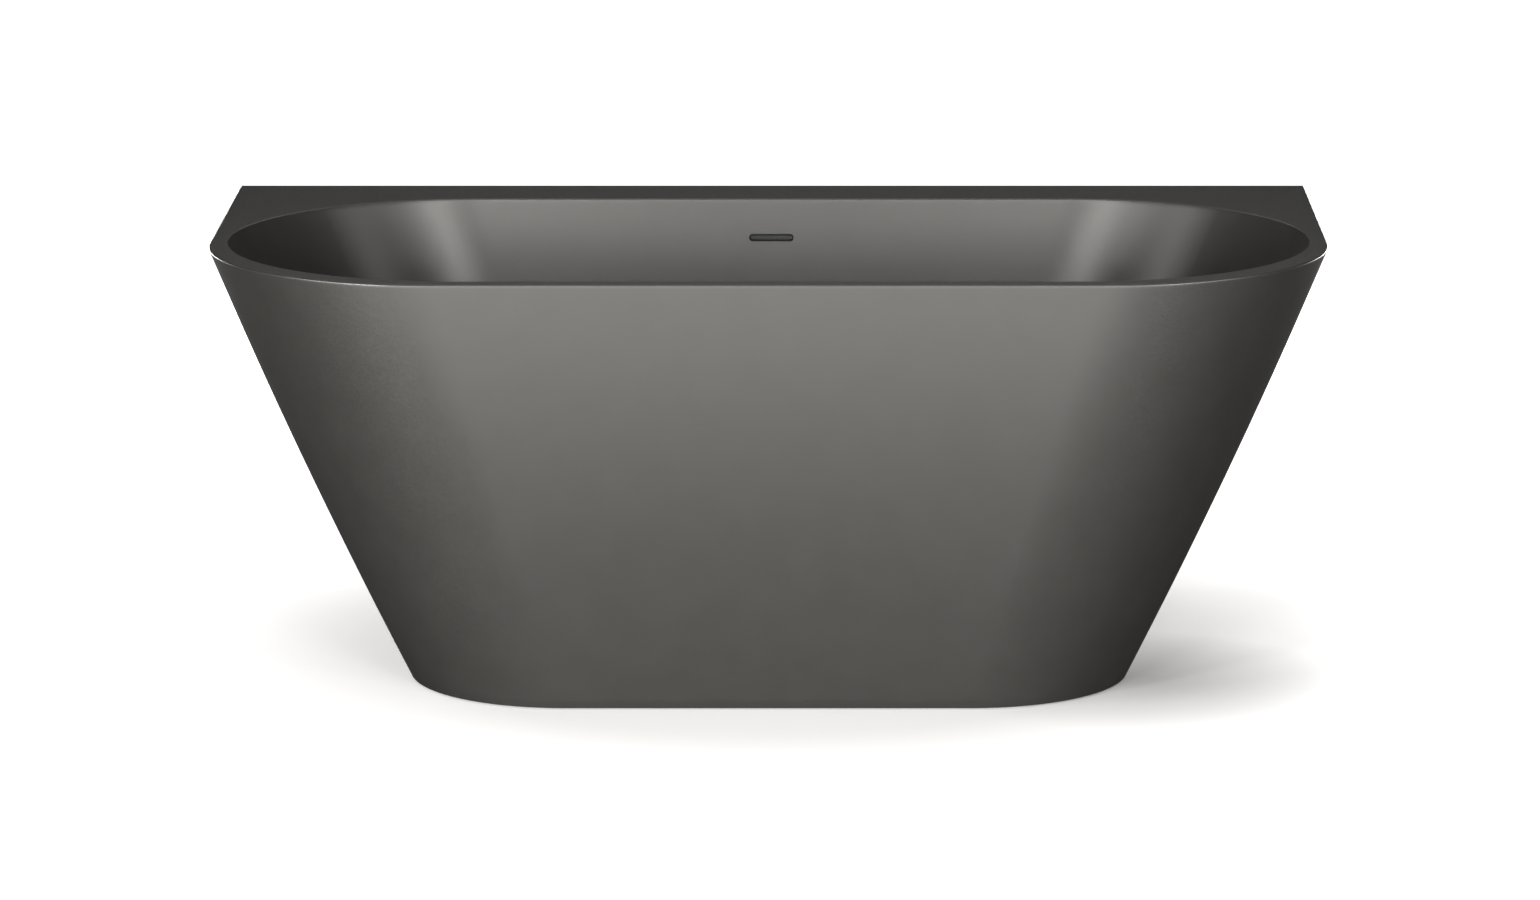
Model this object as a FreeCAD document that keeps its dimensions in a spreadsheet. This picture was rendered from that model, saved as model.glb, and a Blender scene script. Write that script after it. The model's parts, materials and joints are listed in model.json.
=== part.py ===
import FreeCAD, Part
import math
import os
import re
import Sketcher
from FreeCAD import Placement, Rotation, Vector

# Back-to-wall bathtub: a D-shaped double-skinned tub on a steel frame with levelling feet, a pop-up
# waste, a slot overflow and a shallow trap. Millimetres, +Z up, the origin is on the floor under the
# middle of the tub's box. The front faces -Y and the flat back stands against a wall at +Y.

DRIVING_DIMENSIONS = {
    # outside
    "length": (1500, "rim, end to end"),
    "width": (780, "rim, wall to front"),
    "height": (580, "floor to rim"),
    "base_half_length": (482, "half the outline's length on the floor"),
    "base_front": (332, "front of the outline on the floor, ahead of the middle"),
    "top_corner_radius": (318, "front corners of the outline at the rim"),
    "base_corner_radius": (214, "front corners of the outline on the floor"),
    "bulge": (7, "how far the slanted walls swell halfway up"),
    "back_allowance": (6, "planed off the back"),
    "floor_gap": (2, "air under the skirt"),
    "shell_thickness": (5, "outer skin"),
    "shell_flange": (25, "inward flange at the skirt's foot"),
    "service_half_width": (300, "cut-out in the back for the pipes"),
    "service_top": (400, "top of the cut-out"),
    "service_corner_radius": (60, "corners of the cut-out"),
    # inside
    "rim_thickness": (8, "flat rim and deck"),
    "front_rim": (28, "width of the rim at the front"),
    "side_rim": (23.5, "width of the rim at the ends"),
    "deck_depth": (113, "width of the rear deck"),
    "edge_radius": (2, "edges of the rim"),
    "skin": (6, "bowl wall"),
    "skin_draft": (2, "how much less the bowl's outside grows at the bottom"),
    "floor_level": (130, "bowl's floor"),
    "floor_half_length": (500, "bowl's floor before its fillet"),
    "floor_half_width": (252, "bowl's floor before its fillet"),
    "floor_middle": (-38, "middle of the bowl's floor along Y"),
    "floor_fillet": (90, "from floor to wall"),
    # board and frame
    "board_half_length": (380, "baseboard"),
    "board_front": (-187, "baseboard's front edge"),
    "board_back": (112, "baseboard's rear edge"),
    "board_thickness": (15, "baseboard"),
    "board_corner_radius": (50, "baseboard"),
    "notch_half_width": (60, "notch in the board round the waste"),
    "notch_front": (35, "front edge of that notch"),
    "batten_half_length": (600, "batten under the deck"),
    "batten_front": (300, "batten under the deck"),
    "batten_back": (372, "batten under the deck"),
    "batten_thickness": (18, "batten under the deck"),
    "tube_side": (25, "square tube"),
    "tube_wall": (2, "square tube"),
    "rail_half_length": (400, "rails along the tub"),
    "front_rail_y": (-150, "middle of the front rail"),
    "rear_rail_y": (10, "middle of the rear rail"),
    "crossbar_x": (330, "middle of each crossbar"),
    "crossbar_front": (-262, "crossbars"),
    "crossbar_back": (252, "crossbars"),
    "plug_depth": (12, "how far a tube plug reaches in"),
    "plug_head": (3, "a tube plug's head"),
    # fasteners
    "bolt_radius": (4, "M8 frame bolt"),
    "bolt_hole_radius": (4.3, "its clearance hole"),
    "bolt_flats": (13, "its head and nut, across the flats"),
    "bolt_head": (5.3, "its head"),
    "bolt_nut": (6.8, "its nut"),
    "screw_radius": (2.2, "5 mm screws"),
    "screw_hole_radius": (2.3, "their holes"),
    "screw_head_radius": (4.5, "their heads"),
    "screw_head": (2.8, "their heads"),
    "board_screw_x": (220, "spacing of the screws along a rail"),
    "board_screw_end": (119, "level of their tips"),
    "bracket_thickness": (3, "rear brackets"),
    "bracket_height": (20, "rear brackets"),
    "bracket_front": (170, "front end of the brackets"),
    "bracket_screw_front": (185, "front screw into the crossbar, along Y"),
    "bracket_screw_back": (235, "rear screw into the crossbar, along Y"),
    "bracket_foot": (32, "the part that lies on the shell's back"),
    # levelling feet
    "front_foot_y": (-235, "front feet"),
    "rear_foot_y": (225, "rear feet"),
    "pad_radius": (25, "foot pad"),
    "pad_rim": (6, "foot pad's rim"),
    "pad_neck_radius": (13, "foot pad's neck"),
    "pad_height": (14, "foot pad"),
    "pad_floor": (5, "under the stud's pin"),
    "pin_radius": (5, "stud's lower pin"),
    "running_clearance": (0.05, "round turning and sliding shafts"),
    "axial_clearance": (0.3, "between parts that turn"),
    "stud_radius": (6, "M12 stud"),
    "stud_top": (112, "level of the stud's top"),
    "stud_hex_top": (20.3, "level of the hexagon's top"),
    "stud_hex_flats": (17, "across the flats"),
    "foot_nut_flats": (19, "M12 nut, across the flats"),
    "foot_nut_height": (10, "M12 nut"),
    "stud_hole_radius": (6.5, "holes in the crossbars"),
    # waste
    "waste_y": (85, "waste, behind the tub's middle"),
    "waste_hole_radius": (26, "hole in the bowl's floor"),
    "flange_radius": (35, "waste flange"),
    "flange_thickness": (3.5, "waste flange"),
    "throat_radius": (24.5, "mouth of the flange"),
    "throat_depth": (6.5, "cone below the mouth"),
    "tail_radius": (23.9, "threaded tail"),
    "tail_bore": (20.5, "threaded tail"),
    "tail_end": (70, "level of the tail's end"),
    "window_low": (99, "water windows in the tail"),
    "window_high": (109, "water windows in the tail"),
    "window_width": (10, "water windows in the tail"),
    "hub_low": (110, "hub in the tail"),
    "hub_high": (116, "hub in the tail"),
    "hub_radius": (12, "hub in the tail"),
    "hub_bore": (9.1, "hub in the tail"),
    "rib_width": (3, "ribs of the hub"),
    "gasket_radius": (34, "waste gaskets"),
    "gasket_bore": (24.2, "waste gaskets"),
    "upper_gasket": (2, "between flange and floor"),
    "lower_gasket": (3, "between floor and banjo"),
    "banjo_radius": (36, "overflow banjo"),
    "banjo_channel_radius": (31, "its water channel"),
    "banjo_height": (28, "overflow banjo"),
    "banjo_wall": (4, "its top and bottom"),
    "spigot_radius": (13, "hose spigots"),
    "spigot_bore": (10.5, "hose spigots"),
    "banjo_reach": (62, "end of its spigot, behind the waste's axis"),
    "waste_nut_flats": (60, "across the flats"),
    "waste_nut_height": (9, "waste nut"),
    # pop-up plug, stored raised
    "plug_travel": (9, "from raised to closed"),
    "cap_radius": (31, "plug cap"),
    "cap_bottom": (144.8, "level of the cap's underside, raised"),
    "cap_edge": (3, "thickness at the cap's edge"),
    "cap_height": (6, "thickness at the cap's middle"),
    "cap_crown_radius": (22, "where the cap's slope becomes flatter"),
    "cap_crown_drop": (1, "from the cap's middle down to that circle"),
    "seal_radius": (22.5, "plug seal"),
    "seal_bore": (10, "plug seal"),
    "seal_thickness": (3, "plug seal"),
    "spindle_radius": (4, "plug stem"),
    "spindle_collar": (7.2, "plug stem"),
    "collar_top": (121.8, "level of the collar's top, raised"),
    "collar_thickness": (2, "plug stem"),
    "spindle_low": (108, "level of the stem's lower tip, raised"),
    "guide_radius": (2.5, "stem inside the spring"),
    "cartridge_radius": (9, "plug cartridge"),
    "cartridge_bore": (7.6, "plug cartridge"),
    "cartridge_low": (94, "level of its bottom"),
    "cartridge_floor": (2, "its bottom"),
    "cartridge_high": (125, "level of its top"),
    "cartridge_lid": (3, "its top"),
    "cartridge_collar": (11, "rests on the hub"),
    "cartridge_collar_top": (119, "level of that collar's top"),
    "spring_radius": (5.6, "middle of the wire"),
    "spring_wire": (0.6, "wire radius"),
    "spring_turns": (6, "plug spring"),
    # overflow
    "slot_width": (61, "overflow slot"),
    "slot_height": (8.5, "overflow slot"),
    "slot_level": (526, "middle of the slot"),
    "box_half_width": (50, "overflow housing"),
    "box_low": (500, "overflow housing"),
    "box_high": (550, "overflow housing"),
    "box_back": (320, "overflow housing"),
    "box_wall": (3, "overflow housing"),
    "box_gasket": (3, "overflow gasket"),
    "box_gasket_border": (9, "overflow gasket"),
    "ear_half_width": (68, "ears of the housing"),
    "ear_low": (514, "ears of the housing"),
    "ear_high": (538, "ears of the housing"),
    "ear_back": (293, "ears of the housing"),
    "ear_screw_x": (59, "screws through the ears"),
    "ear_screw_bite": (4.5, "how far the screws go into the bowl's wall"),
    "overflow_spigot_y": (302, "its spigot"),
    "overflow_spigot_low": (472, "lower end of its spigot"),
    "hose_radius": (15.4, "overflow hose"),
    "hose_bore": (13.1, "overflow hose"),
    "hose_bend": (95, "bend of the hose's middle line"),
    "hose_gap": (4, "between the banjo and the hose's end"),
    "clip_width": (9, "hose clips"),
    "clip_thickness": (1.2, "hose clips"),
    "clip_block": (7, "screw housing of a clip, out from the band and to each side"),
    "clip_setback": (5, "from the hose's end to the clip"),
    # trap
    "trap_radius": (46, "trap pot"),
    "trap_bore": (43, "trap pot"),
    "trap_low": (12, "bottom of the pot"),
    "trap_high": (60, "top of the pot"),
    "trap_wall": (3, "trap pot"),
    "trap_neck_radius": (27.5, "inlet neck"),
    "trap_neck_bore": (21, "inlet neck and dip tube"),
    "trap_neck_top": (67.8, "level of the neck's top"),
    "dip_radius": (23.5, "dip tube"),
    "dip_low": (26, "lower end of the dip tube"),
    "trap_nut_radius": (33, "union nut on the neck"),
    "trap_nut_low": (63.4, "its lower edge"),
    "trap_nut_high": (80, "its upper edge"),
    "trap_nut_shoulder": (72, "level where its bore narrows"),
    "nut_chamfer": (3, "edges of the plastic nuts"),
    "cap_disc_low": (5, "access cap"),
    "cap_disc_radius": (47, "access cap"),
    "cap_disc_high": (10, "access cap"),
    "cap_spigot_high": (19, "access cap"),
    "outlet_level": (38, "middle of the outlet"),
    "socket_radius": (25, "outlet socket"),
    "socket_reach": (70, "end of the socket, behind the waste's axis"),
    "socket_depth": (20, "pipe inside the socket"),
    "pipe_radius": (20, "40 mm waste pipe"),
    "pipe_wall": (1.8, "waste pipe"),
    "pipe_end": (380, "free end of the pipe"),
    "pipe_chamfer": (1, "at the pipe's free end"),
    "pipe_mark": (306, "insertion mark round the pipe"),
    "pipe_mark_width": (2, "insertion mark"),
    "pipe_mark_depth": (0.4, "insertion mark"),
    "outlet_nut_radius": (31, "nut round the socket"),
    "outlet_nut_front": (58, "its front edge, behind the waste's axis"),
    "outlet_nut_back": (83, "its rear edge, behind the waste's axis"),
    "outlet_seal": (3.5, "ring under that nut"),
}

doc = FreeCAD.newDocument("bathtub")
sheet = doc.addObject("Spreadsheet::Sheet", "Dims")
subparts = []


def fill_sheet():
    for row, (alias, (number, note)) in enumerate(DRIVING_DIMENSIONS.items(), start=1):
        sheet.set(f"A{row}", alias)
        sheet.set(f"B{row}", str(number))
        sheet.set(f"C{row}", note)
        sheet.setAlias(f"B{row}", alias)
    doc.recompute()


# ---------------------------------------------------------------- expressions and sketches

def bound(expression):
    """The expression with each driving dimension read from the sheet."""
    def from_sheet(match):
        word = match.group(0)
        return f"Dims.{word}" if word in DRIVING_DIMENSIONS else word
    return re.sub(r"[a-z_]+", from_sheet, str(expression))


def value(expression):
    return float(doc.Dims.evalExpression(bound(expression)))


def new_body(label):
    body = doc.addObject("PartDesign::Body", label)
    body.Label = label
    return body


def place(piece, x="0", y="0", z="0"):
    """Puts a piece at a point of the tub."""
    for axis, expression in (("x", x), ("y", y), ("z", z)):
        if str(expression) != "0":
            piece.setExpression(f"Placement.Base.{axis}", bound(expression))


def new_sketch(body, name, plane="XY", offset="0"):
    """A sketch on one of the body's own planes, moved along the plane's normal."""
    sketch = body.newObject("Sketcher::SketchObject", name)
    role = f"{plane}_Plane"
    origin_plane = next(item for item in body.Origin.OriginFeatures if item.Role == role)
    sketch.AttachmentSupport = [(origin_plane, "")]
    sketch.MapMode = "FlatFace"
    if str(offset) != "0":
        sketch.setExpression("AttachmentOffset.Base.z", bound(offset))
    return sketch


def pin_coordinate(sketch, kind, element, vertex, expression):
    number = value(expression)
    if abs(number) < 1e-9:
        axis = -2 if kind == "DistanceX" else -1
        sketch.addConstraint(Sketcher.Constraint("PointOnObject", element, vertex, axis))
        return
    index = sketch.addConstraint(Sketcher.Constraint(kind, -1, 1, element, vertex, number))
    sketch.setExpression(f"Constraints[{index}]", bound(expression))


def pin_point(sketch, element, vertex, x, y):
    pin_coordinate(sketch, "DistanceX", element, vertex, x)
    pin_coordinate(sketch, "DistanceY", element, vertex, y)


def pin_radius(sketch, element, expression):
    index = sketch.addConstraint(Sketcher.Constraint("Radius", element, value(expression)))
    sketch.setExpression(f"Constraints[{index}]", bound(expression))


def draw_polygon(sketch, corners):
    """A closed polygon; each corner is a pair of expressions."""
    points = [Vector(value(x), value(y), 0) for x, y in corners]
    first = sketch.GeometryCount
    for start, end in zip(points, points[1:] + points[:1]):
        sketch.addGeometry(Part.LineSegment(start, end))
    for step, (x, y) in enumerate(corners):
        before = first + (step - 1) % len(corners)
        sketch.addConstraint(Sketcher.Constraint("Coincident", before, 2, first + step, 1))
        pin_point(sketch, first + step, 1, x, y)


def draw_box(sketch, low_x, high_x, low_y, high_y):
    draw_polygon(sketch, [(low_x, low_y), (high_x, low_y), (high_x, high_y), (low_x, high_y)])


def draw_circle(sketch, radius, x="0", y="0"):
    centre = Vector(value(x), value(y), 0)
    circle = sketch.addGeometry(Part.Circle(centre, Vector(0, 0, 1), value(radius)))
    pin_point(sketch, circle, 3, x, y)
    pin_radius(sketch, circle, radius)


def draw_regular(sketch, sides, flats, x="0", y="0"):
    """A regular polygon of a given size across its flats."""
    half = 180 / sides
    corners = []
    for step in range(sides):
        angle = half * (2 * step + 1)
        corner_x = f"({x}) + ({flats}) / 2 / cos({half}) * cos({angle})"
        corner_y = f"({y}) + ({flats}) / 2 / cos({half}) * sin({angle})"
        corners.append((corner_x, corner_y))
    draw_polygon(sketch, corners)


def join_tangent(sketch, element, vertex, other, other_vertex):
    sketch.addConstraint(Sketcher.Constraint("Tangent", element, vertex, other, other_vertex))


def draw_arc(sketch, x, y, radius, start, end):
    circle = Part.Circle(Vector(x, y, 0), Vector(0, 0, 1), radius)
    return sketch.addGeometry(Part.ArcOfCircle(circle, math.radians(start), math.radians(end)))


def draw_stadium(sketch, half_length, half_width, y):
    """Two straight sides along X joined by half circles."""
    middle = value(y)
    radius = value(half_width)
    reach = value(half_length) - radius
    low = sketch.addGeometry(Part.LineSegment(Vector(-reach, middle - radius, 0),
                                              Vector(reach, middle - radius, 0)))
    right = draw_arc(sketch, reach, middle, radius, -90, 90)
    high = sketch.addGeometry(Part.LineSegment(Vector(reach, middle + radius, 0),
                                               Vector(-reach, middle + radius, 0)))
    left = draw_arc(sketch, -reach, middle, radius, 90, 270)
    join_tangent(sketch, low, 2, right, 1)
    join_tangent(sketch, right, 2, high, 1)
    join_tangent(sketch, high, 2, left, 1)
    join_tangent(sketch, left, 2, low, 1)
    pin_point(sketch, right, 3, f"({half_length}) - ({half_width})", y)
    pin_coordinate(sketch, "DistanceX", left, 3, f"({half_width}) - ({half_length})")
    pin_radius(sketch, right, half_width)


def draw_outline(sketch, level, inset="0", beyond="0"):
    """The tub's D-shaped outline at a level, inset all round, with its back moved out beyond."""
    share = f"(({level}) / height)"
    swell = f"4 * bulge * {share} * (1 - {share}) - ({inset})"
    half_length = f"base_half_length + (length / 2 - base_half_length) * {share} + {swell}"
    front = f"-(base_front + (width / 2 - base_front) * {share} + {swell})"
    radius = f"base_corner_radius + (top_corner_radius - base_corner_radius) * {share} + {swell}"
    back = f"width / 2 - ({inset}) + ({beyond})"
    a, f, r, b = (value(item) for item in (half_length, front, radius, back))
    corners = [(-a, b), (a, b), (a, f + r), (a - r, f), (r - a, f), (-a, f + r)]
    points = [Vector(x, y, 0) for x, y in corners]
    rear_line = sketch.addGeometry(Part.LineSegment(points[0], points[1]))
    right_line = sketch.addGeometry(Part.LineSegment(points[1], points[2]))
    right_arc = draw_arc(sketch, a - r, f + r, r, -90, 0)
    front_line = sketch.addGeometry(Part.LineSegment(points[3], points[4]))
    left_arc = draw_arc(sketch, r - a, f + r, r, 180, 270)
    left_line = sketch.addGeometry(Part.LineSegment(points[5], points[0]))
    sketch.addConstraint(Sketcher.Constraint("Coincident", rear_line, 2, right_line, 1))
    sketch.addConstraint(Sketcher.Constraint("Coincident", left_line, 2, rear_line, 1))
    pin_point(sketch, rear_line, 1, f"-({half_length})", back)
    pin_point(sketch, rear_line, 2, half_length, back)
    sketch.addConstraint(Sketcher.Constraint("Vertical", right_line))
    sketch.addConstraint(Sketcher.Constraint("Vertical", left_line))
    join_tangent(sketch, right_line, 2, right_arc, 2)
    join_tangent(sketch, right_arc, 1, front_line, 1)
    join_tangent(sketch, front_line, 2, left_arc, 2)
    join_tangent(sketch, left_arc, 1, left_line, 1)
    pin_radius(sketch, right_arc, radius)
    pin_radius(sketch, left_arc, radius)
    pin_coordinate(sketch, "DistanceY", front_line, 1, front)


# ---------------------------------------------------------------- features

def finish_feature(body, feature):
    body.Tip = feature
    return feature


def extrude(body, sketch, length, cut=False, along_normal=True):
    """A pad or a pocket; along_normal says which way it goes from the sketch."""
    kind = "Pocket" if cut else "Pad"
    feature = body.newObject(f"PartDesign::{kind}", f"{sketch.Name}_{kind.lower()}")
    feature.Profile = sketch
    feature.setExpression("Length", bound(length))
    feature.Reversed = along_normal if cut else not along_normal
    return finish_feature(body, feature)


def turn(body, sketch, cut=False, axis="V_Axis"):
    """Revolves a profile about one of its sketch's axes."""
    kind = "Groove" if cut else "Revolution"
    feature = body.newObject(f"PartDesign::{kind}", f"{sketch.Name}_{kind.lower()}")
    feature.Profile = sketch
    feature.ReferenceAxis = (sketch, [axis])
    feature.Angle = 360
    return finish_feature(body, feature)


def loft(body, sections, cut=False, ruled=False):
    kind = "SubtractiveLoft" if cut else "AdditiveLoft"
    feature = body.newObject(f"PartDesign::{kind}", f"{sections[0].Name}_loft")
    feature.Profile = sections[0]
    feature.Sections = sections[1:]
    feature.Ruled = ruled
    return finish_feature(body, feature)


def fillet(body, name, radius, chosen):
    """Rounds the edges of the body's tip that the test chosen accepts."""
    doc.recompute()
    base = body.Tip
    names = [f"Edge{number}" for number, edge in enumerate(base.Shape.Edges, start=1) if chosen(edge)]
    feature = body.newObject("PartDesign::Fillet", name)
    feature.Base = (base, names)
    feature.setExpression("Radius", bound(radius))
    return finish_feature(body, feature)


def edge_at_level(level):
    """A test for edges that lie flat at a level."""
    height = value(level)

    def lies_there(edge):
        box = edge.BoundBox
        return abs(box.ZMin - height) < 0.01 and abs(box.ZMax - height) < 0.01
    return lies_there


def keep(piece):
    subparts.append(piece)
    return piece


def turned_piece(label, profile, x="0", y="0", z="0"):
    """A piece turned about a vertical axis from a profile of (radius, level) corners."""
    body = new_body(label)
    sketch = new_sketch(body, f"{label}_profile", "XZ")
    draw_polygon(sketch, profile)
    turn(body, sketch)
    place(body, x, y, z)
    return body


def ring_profile(inner, outer, low, high):
    return [(inner, low), (outer, low), (outer, high), (inner, high)]


def keep_together(label, pieces):
    """Several solids as one node."""
    compound = doc.addObject("Part::Compound", label)
    compound.Label = label
    compound.Links = pieces
    return keep(compound)


def group(label, piece, seats):
    """Copies of one piece as one node; a seat is x, y, z and, where the copy is turned, a rotation."""
    links = []
    for number, (x, y, z, *rotation) in enumerate(seats, start=1):
        link = doc.addObject("App::Link", f"{label}_{number}")
        link.LinkedObject = piece
        link.Placement = Placement(Vector(), *rotation) if rotation else Placement()
        place(link, x, y, z)
        links.append(link)
    return keep_together(label, links)


# ---------------------------------------------------------------- shell and bowl

def outer_form(body):
    """The whole outside of the tub as one solid, from floor to rim, its back planed flat."""
    sections = []
    for number, level in enumerate(("0", "height / 2", "height")):
        sketch = new_sketch(body, f"{body.Name}_outline_{number}", "XY", level)
        draw_outline(sketch, level, beyond="back_allowance")
        sections.append(sketch)
    loft(body, sections)
    plane = new_sketch(body, f"{body.Name}_back", "XZ", "-width / 2")
    draw_box(plane, "-length", "length", "-height", "2 * height")
    extrude(body, plane, "2 * back_allowance", cut=True, along_normal=False)


def trim(body, name, start, length, upward):
    """Cuts away everything in a slab that starts at a level."""
    sketch = new_sketch(body, name, "XY", start)
    draw_box(sketch, "-length", "length", "-width", "width")
    extrude(body, sketch, length, cut=True, along_normal=upward)


def make_outer_shell():
    body = new_body("outer_shell")
    outer_form(body)
    trim(body, "shell_top_cut", "height", "rim_thickness", upward=False)
    trim(body, "shell_foot_cut", "0", "floor_gap", upward=True)
    flange_top = "floor_gap + shell_thickness"
    sections = []
    for number, level in enumerate((flange_top, "height / 2", "height - rim_thickness")):
        sketch = new_sketch(body, f"shell_hollow_{number}", "XY", level)
        draw_outline(sketch, level, "shell_thickness")
        sections.append(sketch)
    loft(body, sections, cut=True)
    foot = new_sketch(body, "shell_foot_opening", "XY", flange_top)
    draw_outline(foot, flange_top, "shell_flange")
    extrude(body, foot, flange_top, cut=True, along_normal=False)
    service = new_sketch(body, "shell_service_opening", "XZ", "-width / 2 - shell_thickness")
    draw_box(service, "-service_half_width", "service_half_width", "-shell_thickness", "service_top")
    extrude(body, service, "shell_flange + 2 * shell_thickness", cut=True, along_normal=True)
    top = value("service_top")
    side = value("service_half_width")

    def service_corner(edge):
        middle = edge.CenterOfMass
        runs_along_y = edge.BoundBox.YLength > edge.BoundBox.XLength + edge.BoundBox.ZLength
        return runs_along_y and abs(abs(middle.x) - side) < 0.01 and abs(middle.z - top) < 0.01
    fillet(body, "service_corners", "service_corner_radius", service_corner)
    bracket_holes(body)
    return keep(body)


def bracket_holes(body):
    """Holes in the shell's back for the screws of the rear brackets."""
    sketch = new_sketch(body, f"{body.Name}_bracket_holes", "XZ", "-width / 2 - shell_thickness")
    for side in (-1, 1):
        draw_circle(sketch, "screw_hole_radius", f"{side} * ({BRACKET_SCREW_X})", BRACKET_SCREW_Z)
    extrude(body, sketch, "3 * shell_thickness", cut=True, along_normal=True)


RAIL_YS = ("front_rail_y", "rear_rail_y")
FOOT_YS = ("front_foot_y", "rear_foot_y")
BRACKET_SCREW_YS = ("bracket_screw_front", "bracket_screw_back")
OPENING_HALF_LENGTH = "length / 2 - side_rim"
OPENING_HALF_WIDTH = "(width - deck_depth - front_rim) / 2"
OPENING_MIDDLE = "(front_rim - deck_depth) / 2"
TUBE_LEVEL = "floor_level - skin - board_thickness - tube_side"
BRACKET_SCREW_X = "crossbar_x + tube_side / 2 + bracket_thickness + bracket_foot / 2"
BRACKET_SCREW_Z = f"{TUBE_LEVEL} - tube_side / 2"


def back_wall(level, beyond="0"):
    """Y of the outside of the bowl's rear wall at a level, plus a distance beyond it."""
    top_y = f"({OPENING_MIDDLE} + {OPENING_HALF_WIDTH} + skin)"
    foot_y = "(floor_middle + floor_half_width + skin - skin_draft)"
    foot_level = "(floor_level - skin)"
    top_level = "(height - rim_thickness / 2)"
    share = f"((({level}) - {foot_level}) / ({top_level} - {foot_level}))"
    return f"{foot_y} + ({top_y} - {foot_y}) * {share} + ({beyond})"


def stadium_loft(body, name, levels, growths, cut):
    """Joins the stadium of the bowl's floor to that of its opening, each grown by an amount."""
    floor_sketch = new_sketch(body, f"{name}_floor", "XY", levels[0])
    draw_stadium(floor_sketch, f"floor_half_length + {growths[0]}",
                 f"floor_half_width + {growths[0]}", "floor_middle")
    top_sketch = new_sketch(body, f"{name}_top", "XY", levels[1])
    draw_stadium(top_sketch, f"{OPENING_HALF_LENGTH} + {growths[1]}",
                 f"{OPENING_HALF_WIDTH} + {growths[1]}", OPENING_MIDDLE)
    loft(body, [floor_sketch, top_sketch], cut=cut, ruled=True)


def make_bowl():
    body = new_body("bowl")
    outer_form(body)
    trim(body, "bowl_below_rim", "0", "height - rim_thickness", upward=True)
    levels = ("floor_level - skin", "height - rim_thickness / 2")
    stadium_loft(body, "bowl_outside", levels, ("skin - skin_draft", "skin"), cut=False)
    fillet(body, "bowl_outside_fillet", "floor_fillet + skin", edge_at_level("floor_level - skin"))
    hollow = new_body("bowl_hollow")
    stadium_loft(hollow, "bowl_inside", ("floor_level", "height"), ("0", "0"), cut=False)
    fillet(hollow, "bowl_inside_fillet", "floor_fillet", edge_at_level("floor_level"))
    boolean = body.newObject("PartDesign::Boolean", "bowl_hollow_cut")
    boolean.setObjects([hollow])
    boolean.Type = "Cut"
    finish_feature(body, boolean)
    waste = new_sketch(body, "bowl_waste_hole", "XY", "floor_level + skin")
    draw_circle(waste, "waste_hole_radius", "0", "waste_y")
    extrude(body, waste, "3 * skin", cut=True, along_normal=False)
    slot = new_sketch(body, "bowl_overflow_slot", "XZ", "-waste_y")
    draw_stadium(slot, "slot_width / 2", "slot_height / 2", "slot_level")
    extrude(body, slot, "overflow_spigot_y - waste_y", cut=True, along_normal=False)
    ears = new_sketch(body, "bowl_ear_holes", "XZ", "-box_back")
    draw_circle(ears, "screw_hole_radius", "-ear_screw_x", "slot_level")
    draw_circle(ears, "screw_hole_radius", "ear_screw_x", "slot_level")
    depth = f"box_back - ({back_wall('slot_level', '-ear_screw_bite')})"
    extrude(body, ears, depth, cut=True, along_normal=True)
    fillet(body, "rim_edges", "edge_radius", edge_at_level("height"))
    return keep(body)


# ---------------------------------------------------------------- board, batten and frame

def make_boards():
    board = new_body("baseboard")
    low = "floor_level - skin - board_thickness"
    sketch = new_sketch(board, "board_outline", "XY", low)
    front, back = "board_front", "board_back"
    half, notch = "board_half_length", "notch_half_width"
    draw_polygon(sketch, [(f"-{half}", front), (half, front), (half, back), (notch, back),
                          (notch, "notch_front"), (f"-{notch}", "notch_front"), (f"-{notch}", back),
                          (f"-{half}", back)])
    extrude(board, sketch, "board_thickness")
    outer_x = value(half)

    def outer_corner(edge):
        upright = edge.BoundBox.ZLength > 1
        return upright and abs(abs(edge.CenterOfMass.x) - outer_x) < 0.01
    fillet(board, "board_corners", "board_corner_radius", outer_corner)
    pilot = new_sketch(board, "board_pilot_holes", "XY", low)
    for x, y in board_screw_spots():
        draw_circle(pilot, "screw_radius", x, y)
    extrude(board, pilot, f"board_screw_end - ({low})", cut=True, along_normal=True)
    keep(board)

    batten = new_body("deck_batten")
    sketch = new_sketch(batten, "batten_outline", "XY", "height - rim_thickness - batten_thickness")
    draw_box(sketch, "-batten_half_length", "batten_half_length", "batten_front", "batten_back")
    extrude(batten, sketch, "batten_thickness")
    keep(batten)


def board_screw_spots():
    return [(f"{step} * board_screw_x", y) for y in RAIL_YS for step in (-1, 0, 1)]


def frame_bolt_spots():
    return [(f"{side} * crossbar_x", y) for y in RAIL_YS for side in (-1, 1)]


def foot_spots():
    return [(f"{side} * crossbar_x", y) for y in FOOT_YS for side in (-1, 1)]


def make_rail(label, y):
    """A square tube along the tub, under the board."""
    body = new_body(label)
    sketch = new_sketch(body, f"{label}_section", "YZ", "-rail_half_length")
    for inset in ("0", "tube_wall"):
        draw_box(sketch, f"{inset} - tube_side / 2", f"tube_side / 2 - {inset}",
                 f"{inset}", f"tube_side - {inset}")
    extrude(body, sketch, "2 * rail_half_length")
    bolts = new_sketch(body, f"{label}_bolt_holes", "XY", "-tube_wall")
    for side in (-1, 1):
        draw_circle(bolts, "bolt_hole_radius", f"{side} * crossbar_x")
    extrude(body, bolts, "3 * tube_wall", cut=True)
    screws = new_sketch(body, f"{label}_screw_holes", "XY", "-tube_wall")
    for step in (-1, 0, 1):
        draw_circle(screws, "screw_hole_radius", f"{step} * board_screw_x")
    extrude(body, screws, "2 * tube_side", cut=True)
    place(body, y=y, z=f"{TUBE_LEVEL}")
    return keep(body)


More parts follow.
